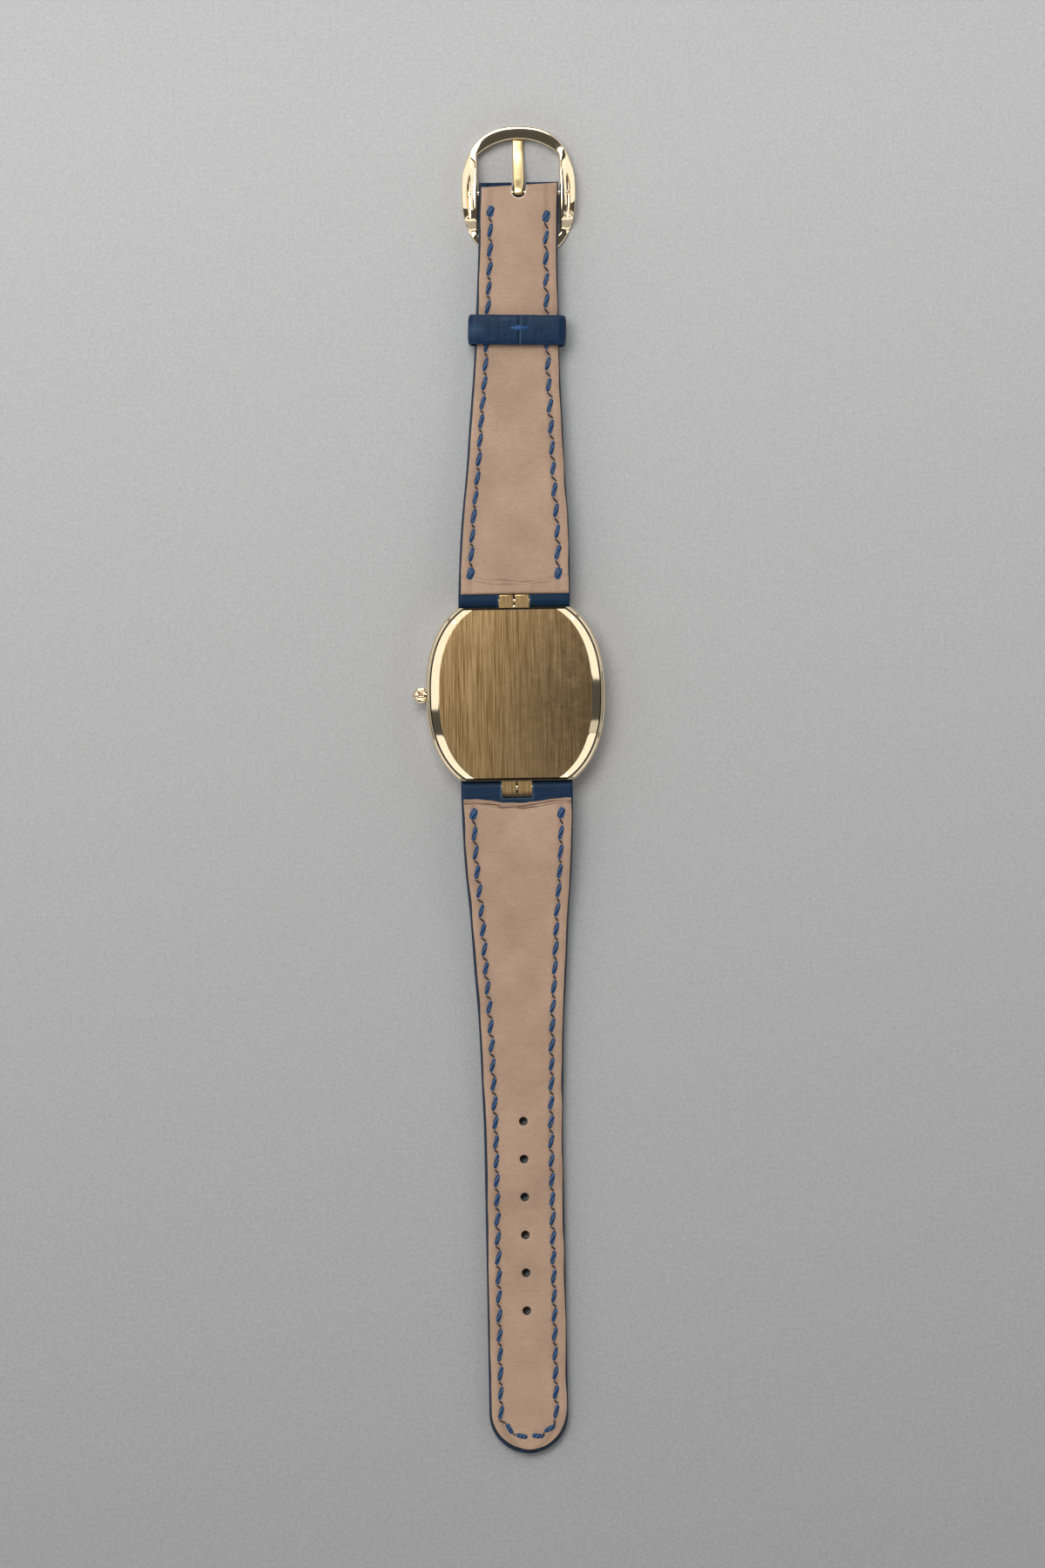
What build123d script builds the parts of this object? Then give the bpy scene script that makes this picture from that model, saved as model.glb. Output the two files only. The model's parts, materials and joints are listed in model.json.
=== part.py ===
from build123d import *
import os
from math import acos, asin, atan2, copysign, cos, degrees, hypot, pi, radians, sin, sqrt, tan, tau

# Oval dress watch on a leather strap, lying face down with its case back up.
# X runs to the right and Y towards the buckle end, both seen from the back. Z points up.
# The origin is the middle of the crystal's flat outer face, which rests on Z 0.

# Fits
running_fit = 0.03
face_gap = 0.04
case_fit = 0.05
leather_gap = 0.15
overrun = 1.0

# Case outline and its stack of heights from the crystal up
case_half_width = 15.55
case_half_length = 17.8
oval_power = 2.4
oval_points = 32
crystal_thickness = 0.75
crystal_bevel = 0.1
bezel_setback = 0.1
hand_gap = 0.1
hand_thickness = 0.08
hand_spacing = 0.06
marker_gap = 0.08
marker_height = 0.15
dial_thickness = 0.3
motion_space = 0.85
plate_thickness = 0.6
train_space = 0.95
bridge_thickness = 0.5
head_room = 0.4
back_thickness = 1.0
seam_lift = 0.1

minute_hand_low = crystal_thickness + hand_gap
hour_hand_low = minute_hand_low + hand_thickness + hand_spacing
marker_low = hour_hand_low + hand_thickness + marker_gap
dial_face = marker_low + marker_height
dial_back = dial_face + dial_thickness
plate_low = dial_back + motion_space
plate_top = plate_low + plate_thickness
bridge_low = plate_top + train_space
bridge_top = bridge_low + bridge_thickness
back_inside = bridge_top + head_room
seam_height = back_inside + seam_lift
back_outside = back_inside + back_thickness

# Bezel, band and case back
bezel_inset = 1.0
bezel_width = 2.1
gasket_width = 0.25
gasket_setback = 0.2
lip_width = 0.3
dial_overlap = 0.25
seam_inset = 0.65
bezel_shares = ((0, 1), (0.22, 0.5), (0.55, 0.18), (1, 0))
band_shares = ((0, 0), (0.3, 0), (0.57, 0.08), (0.8, 0.45), (1, 1))
band_end = 14.95
overhang_thickness = 0.3
wall_thickness = 1.0
side_wall = 1.95
back_seam_step = 0.1
back_bevel_width = 1.4
back_bevel_end_width = 0.55
back_end = 14.6
skirt_depth = 0.3
skirt_wall = 0.7
back_gasket_width = 0.35
back_gasket_depth = 0.2

# Lugs and strap bars
bar_reach = 16.2
bar_height = 3.25
bar_radius = 0.6
bar_length = 18.2
lug_width = 5.2
lug_reach = 17.5
lug_top = 4.75
lug_round = 0.5
slit_width = 0.3
slit_start = 15.35

# Crown, tube and stem
stem_share = 0.9
stem_height = plate_low + stem_share * plate_thickness
stem_radius = 0.35
tube_radius = 0.75
tube_length = 2.4
tube_proud = 0.75
crown_gap = 0.15
crown_radius = 1.35
crown_length = 1.3
crown_flutes = 24
crown_flute_depth = 0.1
crown_recess = 0.95
crown_cap_length = 1.0
crown_cap_shares = ((0, 0.93), (0.3, 0.83), (0.65, 0.55), (0.9, 0.28), (1, 0.08))
crown_travel = 0.8

# Dial, markers and hands
marker_length = 2.3
marker_width = 0.42
marker_inset = 1.0
hour_count = 12
minute_hand_length = 11.6
hour_hand_length = 7.6
hand_width = 0.62
hand_tip_width = 0.16
hand_tail = 1.6
minute_hand_turn = 60
hour_hand_turn = -55

# Movement
movement_radius = 10.9
bridge_radius = 10.6
plate_wall = 0.5
pivot_radius = 0.12
pivot_depth = 0.3
arbor_radius = 0.22
jewel_radius = 0.45
oil_sink_radius = 0.25
bridge_boss_radius = 0.9
bridge_spacing = 0.3
screw_radius = 0.35
screw_head_radius = 0.62
screw_head_height = 0.15
screw_slot_width = 0.14
screw_slot_depth = 0.07
pillar_radius = 0.75
pressure_angle = 25
tooth_addendum_share = 0.7
tooth_root_share = 1.0
tooth_backlash_share = 0.14
wheel_thickness = 0.15
wheel_rim = 0.32
wheel_spoke = 0.26
wheel_hub = 0.55
wheel_arms = 5
pinion_overlap = 0.06
train_lift = 0.1
level_step = 0.3
barrel_gap = 0.07
spiral_steps = 24

first_level = plate_top + train_lift
second_level = first_level + level_step
third_level = second_level + level_step

# Wheel train: tooth counts, modules and directions of each arbor from the last
barrel_teeth = 96
barrel_module = 0.1
centre_pinion_teeth = 12
centre_teeth = 96
centre_module = 0.07
third_pinion_teeth = 12
third_teeth = 90
third_module = 0.06
fourth_pinion_teeth = 12
fourth_teeth = 100
fourth_module = 0.045
escape_pinion_teeth = 10
third_direction = -22
fourth_direction = -56
escape_direction = -143
escape_teeth = 15
escape_radius = 1.6
escape_root_share = 0.74
escape_reach_share = 0.3
escape_back_share = 0.33
escape_tip_share = 0.11
escape_arms = 4
escape_thickness = 0.12
fork_pivot_distance = 1.95
fork_direction = 197
fork_length = 2.35
fork_width = 0.24
fork_head_width = 0.62
fork_notch_width = 0.26
fork_notch_depth = 0.22
stone_width = 0.16
stone_span = 1.05
stone_gap = 0.14
pallet_bridge_thickness = 0.15
pallet_bridge_width = 1.3
pallet_bridge_length = 3.0
pallet_bridge_gap = 0.08

# Balance
balance_distance = 6.75
balance_direction = -105
balance_radius = 3.2
balance_rim = 0.3
balance_height = 0.23
balance_lift = 0.1
balance_arm_width = 0.3
balance_arms = 2
balance_clearance = 0.3
roller_radius = 0.62
roller_thickness = 0.09
impulse_reach = 0.45
impulse_radius = 0.07
hairspring_inner = 0.42
hairspring_outer = 1.9
hairspring_turns = 9
hairspring_band = 0.05
hairspring_height = 0.12
hairspring_lift = 0.05
stud_radius = 0.1
stud_gap = 0.05
cock_lift = 0.1
cock_thickness = 0.32
cock_width = 2.4
cock_foot_reach = 9.35
cock_foot_direction = -138
cock_foot_radius = 1.2

# Barrel and winding work
barrel_wall = 0.35
barrel_floor = 0.12
barrel_cover_height = 0.1
barrel_arbor_radius = 0.5
barrel_hub_radius = 1.05
mainspring_turns = 9
mainspring_band = 0.12
mainspring_gap = 0.1
recess_floor = 0.2
wheel_recess_gap = 0.12
recess_wall = 0.24
winding_module = 0.1
crown_wheel_teeth = 62
ratchet_teeth = 60
winding_wheel_height = 0.2
crown_wheel_boss_radius = 0.8
winding_pinion_place = -8.65
winding_pinion_length = 0.6
winding_pinion_teeth = 20
pinion_groove_share = 0.13
clutch_start = -8.2
clutch_length = 1.2
clutch_radius = 0.8
clutch_groove_radius = 0.5
clutch_groove_width = 0.3
clutch_travel = 0.4
slot_gap = 0.15
stem_pilot_radius = 0.2
stem_pilot_length = 1.1
click_distance = 4.35
click_direction = 5
click_radius = 0.5
click_arm_width = 0.3
click_tooth_gap = 0.06
click_tip_angle = 20
click_spring_width = 0.12
click_spring_length = 1.9
click_spring_foot = 0.24
click_recess_radius = 1.8

# Hand drive and setting work
motion_module = 0.1
cannon_teeth = 12
minute_wheel_teeth = 36
minute_pinion_teeth = 10
hour_wheel_teeth = 40
setting_wheel_teeth = 24
motion_wheel_height = 0.18
motion_lift = 0.08
motion_spacing = 0.08
post_radius = 0.25
centre_pipe_radius = 0.2
cannon_pipe_radius = 0.36
hour_pipe_radius = 0.55
lever_height = 0.18
lever_drop = 0.06
lever_width = 0.5
lever_pin_radius = 0.11
lever_reach = 2.0
lever_pin_place = -9.25
yoke_reach = 2.75
yoke_pin_offset = 0.66

# Movement ring and casing
clamp_length = 2.3
clamp_width = 1.7
clamp_thickness = 0.14
clamp_overlap = 0.8
clamp_screw_place = 0.9
clamp_screw_length = 0.6
clamp_directions = (-30, 150)
bridge_screw_reach = 9.55
barrel_bridge_screws = (52, 166)
train_bridge_screws = (14, -60)

# Straps: leather thicknesses and outlines shared by both
leather_thickness = 0.5
lining_thickness = 0.45
lug_fold_radius = bar_radius + case_fit + leather_thickness
strap_lug_width = 19.4
strap_taper_length = 50
strap_taper_shares = ((0, 1), (0.12, 0.97), (0.27, 0.86), (0.45, 0.6), (0.62, 0.43), (0.8, 0.22), (1, 0.1))
lug_notch_gap = 0.2
lug_sweep_gap = 0.1
lining_inset = 0.35
padding_inset = 0.1
thread_length = 2.65
thread_width = 0.7
thread_height = 0.28
thread_gap = 0.03
thread_inset = 2.0
thread_slant = 17
fold_core_start = 1.1
flap_length = 6.0
lip_start = 1.9

# Long strap
long_length = 116.0
long_tip_width = 13.7
long_lining_start = 2.2
long_settle = 19.0
long_low_shares = ((0.06, 0.75), (0.2, 0.42), (0.42, 0.15), (0.68, 0.03))
long_high_shares = ((0.05, 0.9), (0.12, 0.6), (0.21, 0.33), (0.35, 0.17), (0.6, 0.07))
long_tip_thickness = 1.95
long_lean = 0.2
long_thread_count = 32
long_thread_first = 4.55
long_thread_pitch = 3.36
tip_thread_shares = (0.36, 0.13)
tip_thread_turns = (62, 24)
hole_count = 6
hole_first = 58.1
hole_pitch = 6.6
hole_radius = 0.76

# Short strap, its buckle and its keeper
short_length = 71.0
short_end_width = 13.8
short_lean = -1.5
short_lining_start = 1.2
short_lining_past = 1.2
buckle_fold_radius = 1.2
buckle_fold_slack = 0.6
short_settle = 17.0
short_low_shares = ((0.1, 0.75), (0.3, 0.3), (0.6, 0.06))
short_high_shares = ((0.09, 0.85), (0.2, 0.45), (0.4, -0.2), (0.62, -0.55), (0.85, -0.45))
short_thread_count = 20
short_thread_first = 4.75
short_thread_pitch = 3.31
tongue_notch_width = 2.6
tongue_notch_depth = 1.15
height_search_share = 0.00001
keeper_place = 47.0
keeper_length = 5.3
keeper_width = 17.1
keeper_thickness = 0.9
keeper_round = 0.6
keeper_travel_out = 5.0
keeper_travel_in = 4.0
short_lift = keeper_thickness + leather_gap

# Buckle
buckle_half_width = 9.9
buckle_half_length = 11.6
buckle_power = 2.4
buckle_inner_width = 14.3
buckle_inner_length = 9.4
buckle_inner_side = 6.65
buckle_bar_radius = 0.5
buckle_low_height = 0.85
buckle_arm_height = 3.3
buckle_arm_out = 3.4
buckle_arm_in = 4.6
buckle_slope_reach = 6.5
buckle_end_height = 2.1
buckle_end_lift = 0.35
arm_slot_length = 7.8
arm_slot_shift = -0.6
arm_slot_width = 1.0
arm_slot_depth = 0.3
tongue_width = 1.93
tongue_thickness = 0.85
tongue_eye_wall = 0.42
tongue_bend_share = 0.67
tongue_tip_share = 0.75
tongue_tip_overlap = 1.7
tongue_groove_gap = 0.15

BASE = (Align.CENTER, Align.CENTER, Align.MIN)


# General shapes

def disc(radius, low, high, place=(0, 0)):
    """Round bar along Z between two heights."""
    return Pos(place[0], place[1], low) * Cylinder(radius, high - low, align=BASE)


def rod(radius, start, end, y, z):
    """Round bar along X between two places."""
    bar = Cylinder(radius, end - start, align=BASE)
    return Pos(start, y, z) * (Rot(0, 90, 0) * bar)


def block(x_range, y_range, z_range):
    """Box between three pairs of places."""
    sizes = [high - low for low, high in (x_range, y_range, z_range)]
    corner = (x_range[0], y_range[0], z_range[0])
    return Pos(*corner) * Box(*sizes, align=(Align.MIN, Align.MIN, Align.MIN))


def prism(face, low, high):
    """Flat face pushed up between two heights."""
    return extrude(Pos(0, 0, low) * face, high - low, dir=(0, 0, 1))


def polar(distance, direction, centre=(0, 0)):
    """Place at a distance and direction, in degrees, from a centre."""
    angle = radians(direction)
    return (centre[0] + distance * cos(angle), centre[1] + distance * sin(angle))


def meeting_place(first, first_distance, second, second_distance):
    """Place at given distances from two centres, to the left of the line from first to second."""
    dx, dy = second[0] - first[0], second[1] - first[1]
    span = hypot(dx, dy)
    along = (first_distance ** 2 - second_distance ** 2 + span ** 2) / (2 * span)
    across = sqrt(first_distance ** 2 - along ** 2)
    return (
        first[0] + (along * dx - across * dy) / span,
        first[1] + (along * dy + across * dx) / span,
    )


def oval(half_width, half_length, power=oval_power):
    """Flat oval whose sides and ends are fuller than an ellipse's."""
    points = []
    for step in range(oval_points):
        angle = tau * step / oval_points
        across = copysign(abs(cos(angle)) ** (2 / power), cos(angle))
        along = copysign(abs(sin(angle)) ** (2 / power), sin(angle))
        points.append((half_width * across, half_length * along))
    return make_face(Spline(*points, periodic=True))


def case_oval(inset):
    """Case outline drawn in by an inset."""
    return oval(case_half_width - inset, case_half_length - inset)


def cut_ends(solid, reach):
    """Solid trimmed flat beyond a reach along Y on both sides."""
    span = 2 * case_half_length
    return solid & Box(span, 2 * reach, span)


def hull(circles):
    """Flat shape stretched round circles given as place and radius."""
    edges = [edge for place, radius in circles for edge in (Pos(*place) * Circle(radius)).edges()]
    return make_hull(edges)


def group(solids):
    """Separate solids kept as one node."""
    return Compound([solid for piece in solids for solid in piece.solids()])


# Gears

def gear_radius(teeth, module):
    """Pitch radius of a gear."""
    return teeth * module / 2


def tip_radius(teeth, module):
    """Radius over a gear's teeth."""
    return gear_radius(teeth, module) + tooth_addendum_share * module


def involute(radius, base):
    """Angle by which an involute has unwound at a radius."""
    if radius <= base:
        return 0
    return sqrt((radius / base) ** 2 - 1) - acos(base / radius)


def gear_face(teeth, module, turn=0):
    """Flat gear outline with a tooth at the angle turn, in radians."""
    pitch = gear_radius(teeth, module)
    base = pitch * cos(radians(pressure_angle))
    tip = tip_radius(teeth, module)
    root = pitch - tooth_root_share * module
    spread = (pi / 2 - tooth_backlash_share) / teeth + involute(pitch, base)
    flank = [root, max(root, base), pitch, tip]
    points = []
    for tooth in range(teeth):
        middle = turn + tau * tooth / teeth
        for radius in flank:
            angle = middle - spread + involute(radius, base)
            points.append((radius * cos(angle), radius * sin(angle)))
        for radius in reversed(flank):
            angle = middle + spread - involute(radius, base)
            points.append((radius * cos(angle), radius * sin(angle)))
    kept = [point for index, point in enumerate(points) if point != points[index - 1]]
    return make_face(Polyline(*kept, close=True))


def meshed_turn(turn, teeth, place, other_teeth, other_place):
    """Turn of a second gear whose tooth space meets the first gear's tooth."""
    line = atan2(other_place[1] - place[1], other_place[0] - place[0])
    share = (turn - line) * teeth / tau + 1 / 2
    return line + pi - share * tau / other_teeth


def spokes(hub, rim, width, count):
    """Openings of a spoked wheel between its hub and its rim."""
    openings = Circle(rim) - Circle(hub)
    for arm in range(count):
        openings -= Rot(0, 0, 360 * arm / count) * (Pos(rim / 2, 0) * Rectangle(rim, width))
    return openings


def wheel(teeth, module, level, turn=0):
    """Spoked gear at a level, centred on Z."""
    face = gear_face(teeth, module, turn)
    inside = gear_radius(teeth, module) - tooth_root_share * module - wheel_rim
    if inside > 2 * wheel_hub:
        face -= spokes(wheel_hub, inside, wheel_spoke, wheel_arms)
    return prism(face, level, level + wheel_thickness)


def pinion(teeth, module, low, high, turn=0):
    """Small solid gear between two heights, centred on Z."""
    return prism(gear_face(teeth, module, turn), low, high)


def pivoted_arbor(low=plate_top, high=bridge_low):
    """Arbor between plate and bridge with a fine pivot at each end."""
    body = disc(arbor_radius, low + face_gap, high - face_gap)
    return body + disc(pivot_radius, low - pivot_depth, high + pivot_depth)


def screw(place, low, seat):
    """Slotted cheese-head screw whose head sits on a seat."""
    top = seat + screw_head_height
    body = disc(screw_radius, low, seat, place) + disc(screw_head_radius, seat, top, place)
    slot = Box(2 * screw_head_radius + overrun, screw_slot_width, 2 * screw_slot_depth)
    return body - Pos(place[0], place[1], top) * slot


# Places of the arbors, worked out from the meshes

centre_place = (0, 0)
third_place = polar(gear_radius(centre_teeth + third_pinion_teeth, centre_module), third_direction)
fourth_place = polar(
    gear_radius(third_teeth + fourth_pinion_teeth, third_module), fourth_direction, third_place
)
escape_place = polar(
    gear_radius(fourth_teeth + escape_pinion_teeth, fourth_module), escape_direction, fourth_place
)
fork_place = polar(fork_pivot_distance, fork_direction, escape_place)
balance_place = polar(balance_distance, balance_direction)
crown_wheel_radius = gear_radius(crown_wheel_teeth, winding_module)
crown_wheel_place = (winding_pinion_place + crown_wheel_radius, 0)
barrel_place = meeting_place(
    crown_wheel_place,
    gear_radius(crown_wheel_teeth + ratchet_teeth, winding_module),
    centre_place,
    gear_radius(barrel_teeth + centre_pinion_teeth, barrel_module),
)
minute_wheel_distance = gear_radius(cannon_teeth + minute_wheel_teeth, motion_module)
minute_wheel_place = (-minute_wheel_distance, 0)
hour_module = 2 * minute_wheel_distance / (minute_pinion_teeth + hour_wheel_teeth)
setting_wheel_place = (
    minute_wheel_place[0] - gear_radius(minute_wheel_teeth + setting_wheel_teeth, motion_module),
    0,
)
click_place = polar(click_distance, click_direction, barrel_place)
winding_level = bridge_low + recess_floor + face_gap
winding_pinion_radius = winding_level - face_gap - stem_height
balance_low = bridge_low - balance_lift + face_gap / 2
hairspring_low = balance_low + balance_height + hairspring_lift
cock_low = hairspring_low + hairspring_height + cock_lift
hour_level = dial_back + motion_lift
minute_level = hour_level + motion_wheel_height + motion_spacing
lever_low = plate_low - lever_drop - lever_height
lever_place = (lever_pin_place - crown_travel / 2, lever_reach)
yoke_pin_place = (clutch_start + clutch_length / 2, -yoke_pin_offset)
yoke_place = (yoke_pin_place[0] + clutch_travel / 2, -yoke_pin_offset - yoke_reach)
cock_foot_place = polar(cock_foot_reach, cock_foot_direction)
bridge_jewel_places = [centre_place, third_place, fourth_place, escape_place]
plate_jewel_places = [third_place, fourth_place, escape_place, fork_place, balance_place]
pallet_bridge_low = second_level + escape_thickness + pallet_bridge_gap


# Case

def profiled_ring(low, high, inset, shares):
    """Oval slab whose side follows a profile of height and inset shares."""
    sections = []
    for height_share, inset_share in shares:
        level = low + (high - low) * height_share
        sections.append(Pos(0, 0, level) * case_oval(inset * inset_share))
    return loft(sections, ruled=True)


def make_bezel():
    """Front ring that holds the crystal and presses on the dial."""
    ring = profiled_ring(bezel_setback, dial_face, bezel_inset, bezel_shares)
    opening = case_oval(bezel_width - gasket_width)
    lip = case_oval(bezel_width + lip_width)
    ring -= prism(opening, 0, crystal_thickness)
    return ring - prism(lip, 0, dial_face + overrun)


def make_crystal():
    """Flat oval crystal with a small bevel round its outer face."""
    edge = Pos(0, 0, crystal_bevel) * case_oval(bezel_width)
    front = case_oval(bezel_width + crystal_bevel)
    slab = prism(case_oval(bezel_width), crystal_bevel, crystal_thickness)
    return loft([front, edge], ruled=True) + slab


def make_crystal_gasket():
    """Thin ring between the crystal's edge and the bezel."""
    ring = case_oval(bezel_width - gasket_width) - case_oval(bezel_width)
    return prism(ring, gasket_setback, crystal_thickness)


def cavity(gap=0):
    """Flat outline of the room for the movement, drawn in by a gap."""
    reach = band_end - wall_thickness - gap
    return case_oval(side_wall + gap) & Rectangle(2 * case_half_width, 2 * reach)


def lug(side):
    """Central lug at one end, split by a slit that shows the strap bar."""
    floor = dial_back + overhang_thickness / 2
    start = band_end - wall_thickness / 2
    body = block((-lug_width / 2, lug_width / 2), (start, lug_reach), (floor, lug_top))
    outer_edges = body.edges().filter_by(Axis.X).group_by(Axis.Y)[-1]
    body = fillet(outer_edges, lug_round)
    slit = block(
        (-slit_width / 2, slit_width / 2),
        (slit_start, lug_reach + overrun),
        (bar_height - bar_radius, lug_top + overrun),
    )
    body -= slit
    if side < 0:
        body = Rot(0, 0, 180) * body
    return body


def make_case_middle():
    """Band with its two flat ends, lugs, dial seat and movement room."""
    body = profiled_ring(dial_face, seam_height, seam_inset, band_shares)
    overhang_top = dial_back + overhang_thickness
    for side in (1, -1):
        ends = sorted((side * band_end, side * (case_half_length + overrun)))
        width = (-case_half_width, case_half_width)
        body -= block(width, ends, (overhang_top, seam_height + overrun))
        body += lug(side)
    dial_seat = case_oval(bezel_width - dial_overlap - case_fit)
    body -= prism(dial_seat, dial_face - overrun, dial_back)
    body -= prism(cavity(), dial_back, seam_height + overrun)
    rebate = cavity(-back_gasket_width)
    body -= prism(rebate, seam_height - back_gasket_depth, seam_height + overrun)
    for side in (1, -1):
        body -= rod(bar_radius, -lug_width, lug_width, side * bar_reach, bar_height)
    return body - rod(tube_radius, -case_half_width - overrun, -case_half_width / 2, 0, stem_height)


def make_case_back():
    """Snap-on back: bevelled plate, flat at both ends, with a short skirt."""
    seam = case_oval(seam_inset + back_seam_step)
    flat_inset = seam_inset + back_seam_step + back_bevel_width
    flat_length = case_half_length - seam_inset - back_seam_step - back_bevel_end_width
    flat = oval(case_half_width - flat_inset, flat_length)
    plate = loft([Pos(0, 0, seam_height) * seam, Pos(0, 0, back_outside) * flat], ruled=True)
    plate = cut_ends(plate, back_end)
    skirt_low = back_inside - skirt_depth
    plate += prism(cavity(case_fit), skirt_low, seam_height)
    return plate - prism(cavity(case_fit + skirt_wall), skirt_low - overrun, back_inside)


def make_back_gasket():
    """Flat ring squeezed between the back and its rebate in the band."""
    ring = cavity(-back_gasket_width) - cavity(0)
    return prism(ring, seam_height - back_gasket_depth, seam_height)


def make_strap_bars():
    """Solid bar through each lug for its strap to turn on."""
    half = bar_length / 2
    return group([rod(bar_radius, -half, half, side * bar_reach, bar_height) for side in (1, -1)])


# Crown and stem

crown_end = -case_half_width - crown_gap
crown_cap_end = crown_end - crown_length


def make_crown_tube():
    """Tube pressed through the band, on which the crown slides."""
    start = -case_half_width - tube_proud
    end = start + tube_length
    tube = rod(tube_radius, start, end, 0, stem_height)
    return tube - rod(stem_radius + running_fit, start - overrun, end + overrun, 0, stem_height)


def make_crown():
    """Fluted crown with a turned cap, hollow to take the tube."""
    body = rod(crown_radius, crown_cap_end, crown_end, 0, stem_height)
    groove = crown_flute_depth
    for flute in range(crown_flutes):
        angle = tau * flute / crown_flutes
        y, z = crown_radius * cos(angle), stem_height + crown_radius * sin(angle)
        body -= rod(groove, crown_cap_end + groove, crown_end + overrun, y, z)
    profile = [(0, 0), (0, crown_radius * crown_cap_shares[0][1])]
    for along_share, radius_share in crown_cap_shares[1:]:
        profile.append((crown_cap_length * along_share, crown_radius * radius_share))
    profile.append((crown_cap_length, 0))
    outline = make_face(Polyline(*[(-along, across) for along, across in profile], close=True))
    cap = revolve(Plane.XZ * outline, Axis.X)
    body += Pos(crown_cap_end, 0, stem_height) * cap
    bore = tube_radius + case_fit
    body -= rod(bore, crown_end - crown_recess, crown_end + overrun, 0, stem_height)
    return body - rod(stem_radius, crown_end - crown_recess - stem_radius, crown_end, 0, stem_height)


def make_winding_stem():
    """Stem from the crown to its pilot hole, with the setting lever's groove."""
    slot_end = clutch_start + clutch_length + clutch_travel + slot_gap
    start = crown_end - crown_recess - stem_radius
    body = rod(stem_radius, start, slot_end - face_gap, 0, stem_height)
    body += rod(stem_pilot_radius, start, slot_end + stem_pilot_length, 0, stem_height)
    groove = 2 * lever_pin_radius + 2 * running_fit
    low, high = lever_pin_place - groove / 2, lever_pin_place + groove / 2
    neck = rod(stem_radius + overrun, low, high, 0, stem_height)
    return body - (neck - rod(stem_pilot_radius, low, high, 0, stem_height))


def radial_teeth(count, radius, depth, start, end):
    """Straight teeth round an X axis, as the cuts between them."""
    cuts = []
    for tooth in range(count):
        angle = tau * (tooth + 1 / 2) / count
        y, z = radius * cos(angle), stem_height + radius * sin(angle)
        cuts.append(rod(depth, start, end, y, z))
    return cuts


def make_winding_pinion():
    """Toothed pinion round the stem that turns the crown wheel."""
    start = winding_pinion_place - winding_pinion_length / 2
    end = start + winding_pinion_length
    body = rod(winding_pinion_radius, start, end, 0, stem_height)
    depth = winding_pinion_radius * pinion_groove_share
    low, high = start - overrun, end + overrun
    for cut in radial_teeth(winding_pinion_teeth, winding_pinion_radius, depth, low, high):
        body -= cut
    return body - rod(stem_radius + running_fit, start - overrun, end + overrun, 0, stem_height)


def make_sliding_pinion():
    """Pinion that slides on the stem, with the yoke's groove round its middle."""
    end = clutch_start + clutch_length
    middle = clutch_start + clutch_length / 2
    body = rod(clutch_radius, clutch_start, end, 0, stem_height)
    low, high = middle - clutch_groove_width / 2, middle + clutch_groove_width / 2
    ring = rod(clutch_radius + overrun, low, high, 0, stem_height)
    body -= ring - rod(clutch_groove_radius, low, high, 0, stem_height)
    depth = clutch_radius * pinion_groove_share
    for cut in radial_teeth(winding_pinion_teeth, clutch_radius, depth, high, end + overrun):
        body -= cut
    return body - rod(stem_radius + running_fit, clutch_start - overrun, end + overrun, 0, stem_height)


# Dial and hands

def make_dial():
    """Oval dial plate with its centre hole."""
    plate = prism(case_oval(bezel_width - dial_overlap), dial_face, dial_back)
    return plate - disc(hour_pipe_radius + case_fit, dial_face - overrun, dial_back + overrun)


def make_hour_markers():
    """Twelve applied batons on the dial, the one at twelve doubled."""
    half_width = case_half_width - bezel_width - lip_width - marker_inset
    half_length = case_half_length - bezel_width - lip_width - marker_inset
    markers = []
    for hour in range(hour_count):
        angle = tau * hour / hour_count
        across, along = abs(sin(angle)) / half_width, abs(cos(angle)) / half_length
        reach = (across ** oval_power + along ** oval_power) ** (-1 / oval_power)
        offsets = (-marker_width, marker_width) if hour == 0 else (0,)
        for offset in offsets:
            baton = Box(marker_width, marker_length, marker_height, align=BASE)
            placed = Pos(offset, reach - marker_length / 2, marker_low) * baton
            markers.append(Rot(0, 0, degrees(angle)) * placed)
    return group(markers)


def hand(length, low, bore, hub):
    """Slim tapering hand along +Y with a round hub and a short tail."""
    blade = make_face(
        Polyline(
            (-hand_width / 2, -hand_tail),
            (hand_width / 2, -hand_tail),
            (hand_width / 2, length / 2),
            (hand_tip_width / 2, length),
            (-hand_tip_width / 2, length),
            (-hand_width / 2, length / 2),
            close=True,
        )
    )
    face = (blade + Circle(hub)) - Circle(bore)
    return prism(face, low, low + hand_thickness)


def make_minute_hand():
    """Minute hand on the cannon pinion, pointing at ten past."""
    body = hand(minute_hand_length, minute_hand_low, cannon_pipe_radius, hour_pipe_radius)
    return Rot(0, 0, minute_hand_turn) * body


def make_hour_hand():
    """Hour hand on the hour wheel, just past ten."""
    body = hand(hour_hand_length, hour_hand_low, hour_pipe_radius, hour_pipe_radius + hand_width / 2)
    return Rot(0, 0, hour_hand_turn) * body


# Motion work

def make_cannon_pinion():
    """Pipe round the centre arbor that carries the minute hand."""
    top = minute_level + motion_wheel_height
    gear = pinion(cannon_teeth, motion_module, minute_level, top)
    pipe = disc(cannon_pipe_radius, minute_hand_low, top)
    return (gear + pipe) - disc(centre_pipe_radius + running_fit, 0, plate_low)


def make_minute_wheel():
    """Minute wheel and its pinion on a post under the dial."""
    turn = meshed_turn(0, cannon_teeth, centre_place, minute_wheel_teeth, minute_wheel_place)
    top = minute_level + motion_wheel_height
    gear = pinion(minute_wheel_teeth, motion_module, minute_level, top, turn)
    small = pinion(minute_pinion_teeth, hour_module, hour_level, minute_level)
    body = (gear + small) - disc(post_radius + running_fit, 0, plate_low)
    return Pos(*minute_wheel_place) * body


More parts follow.
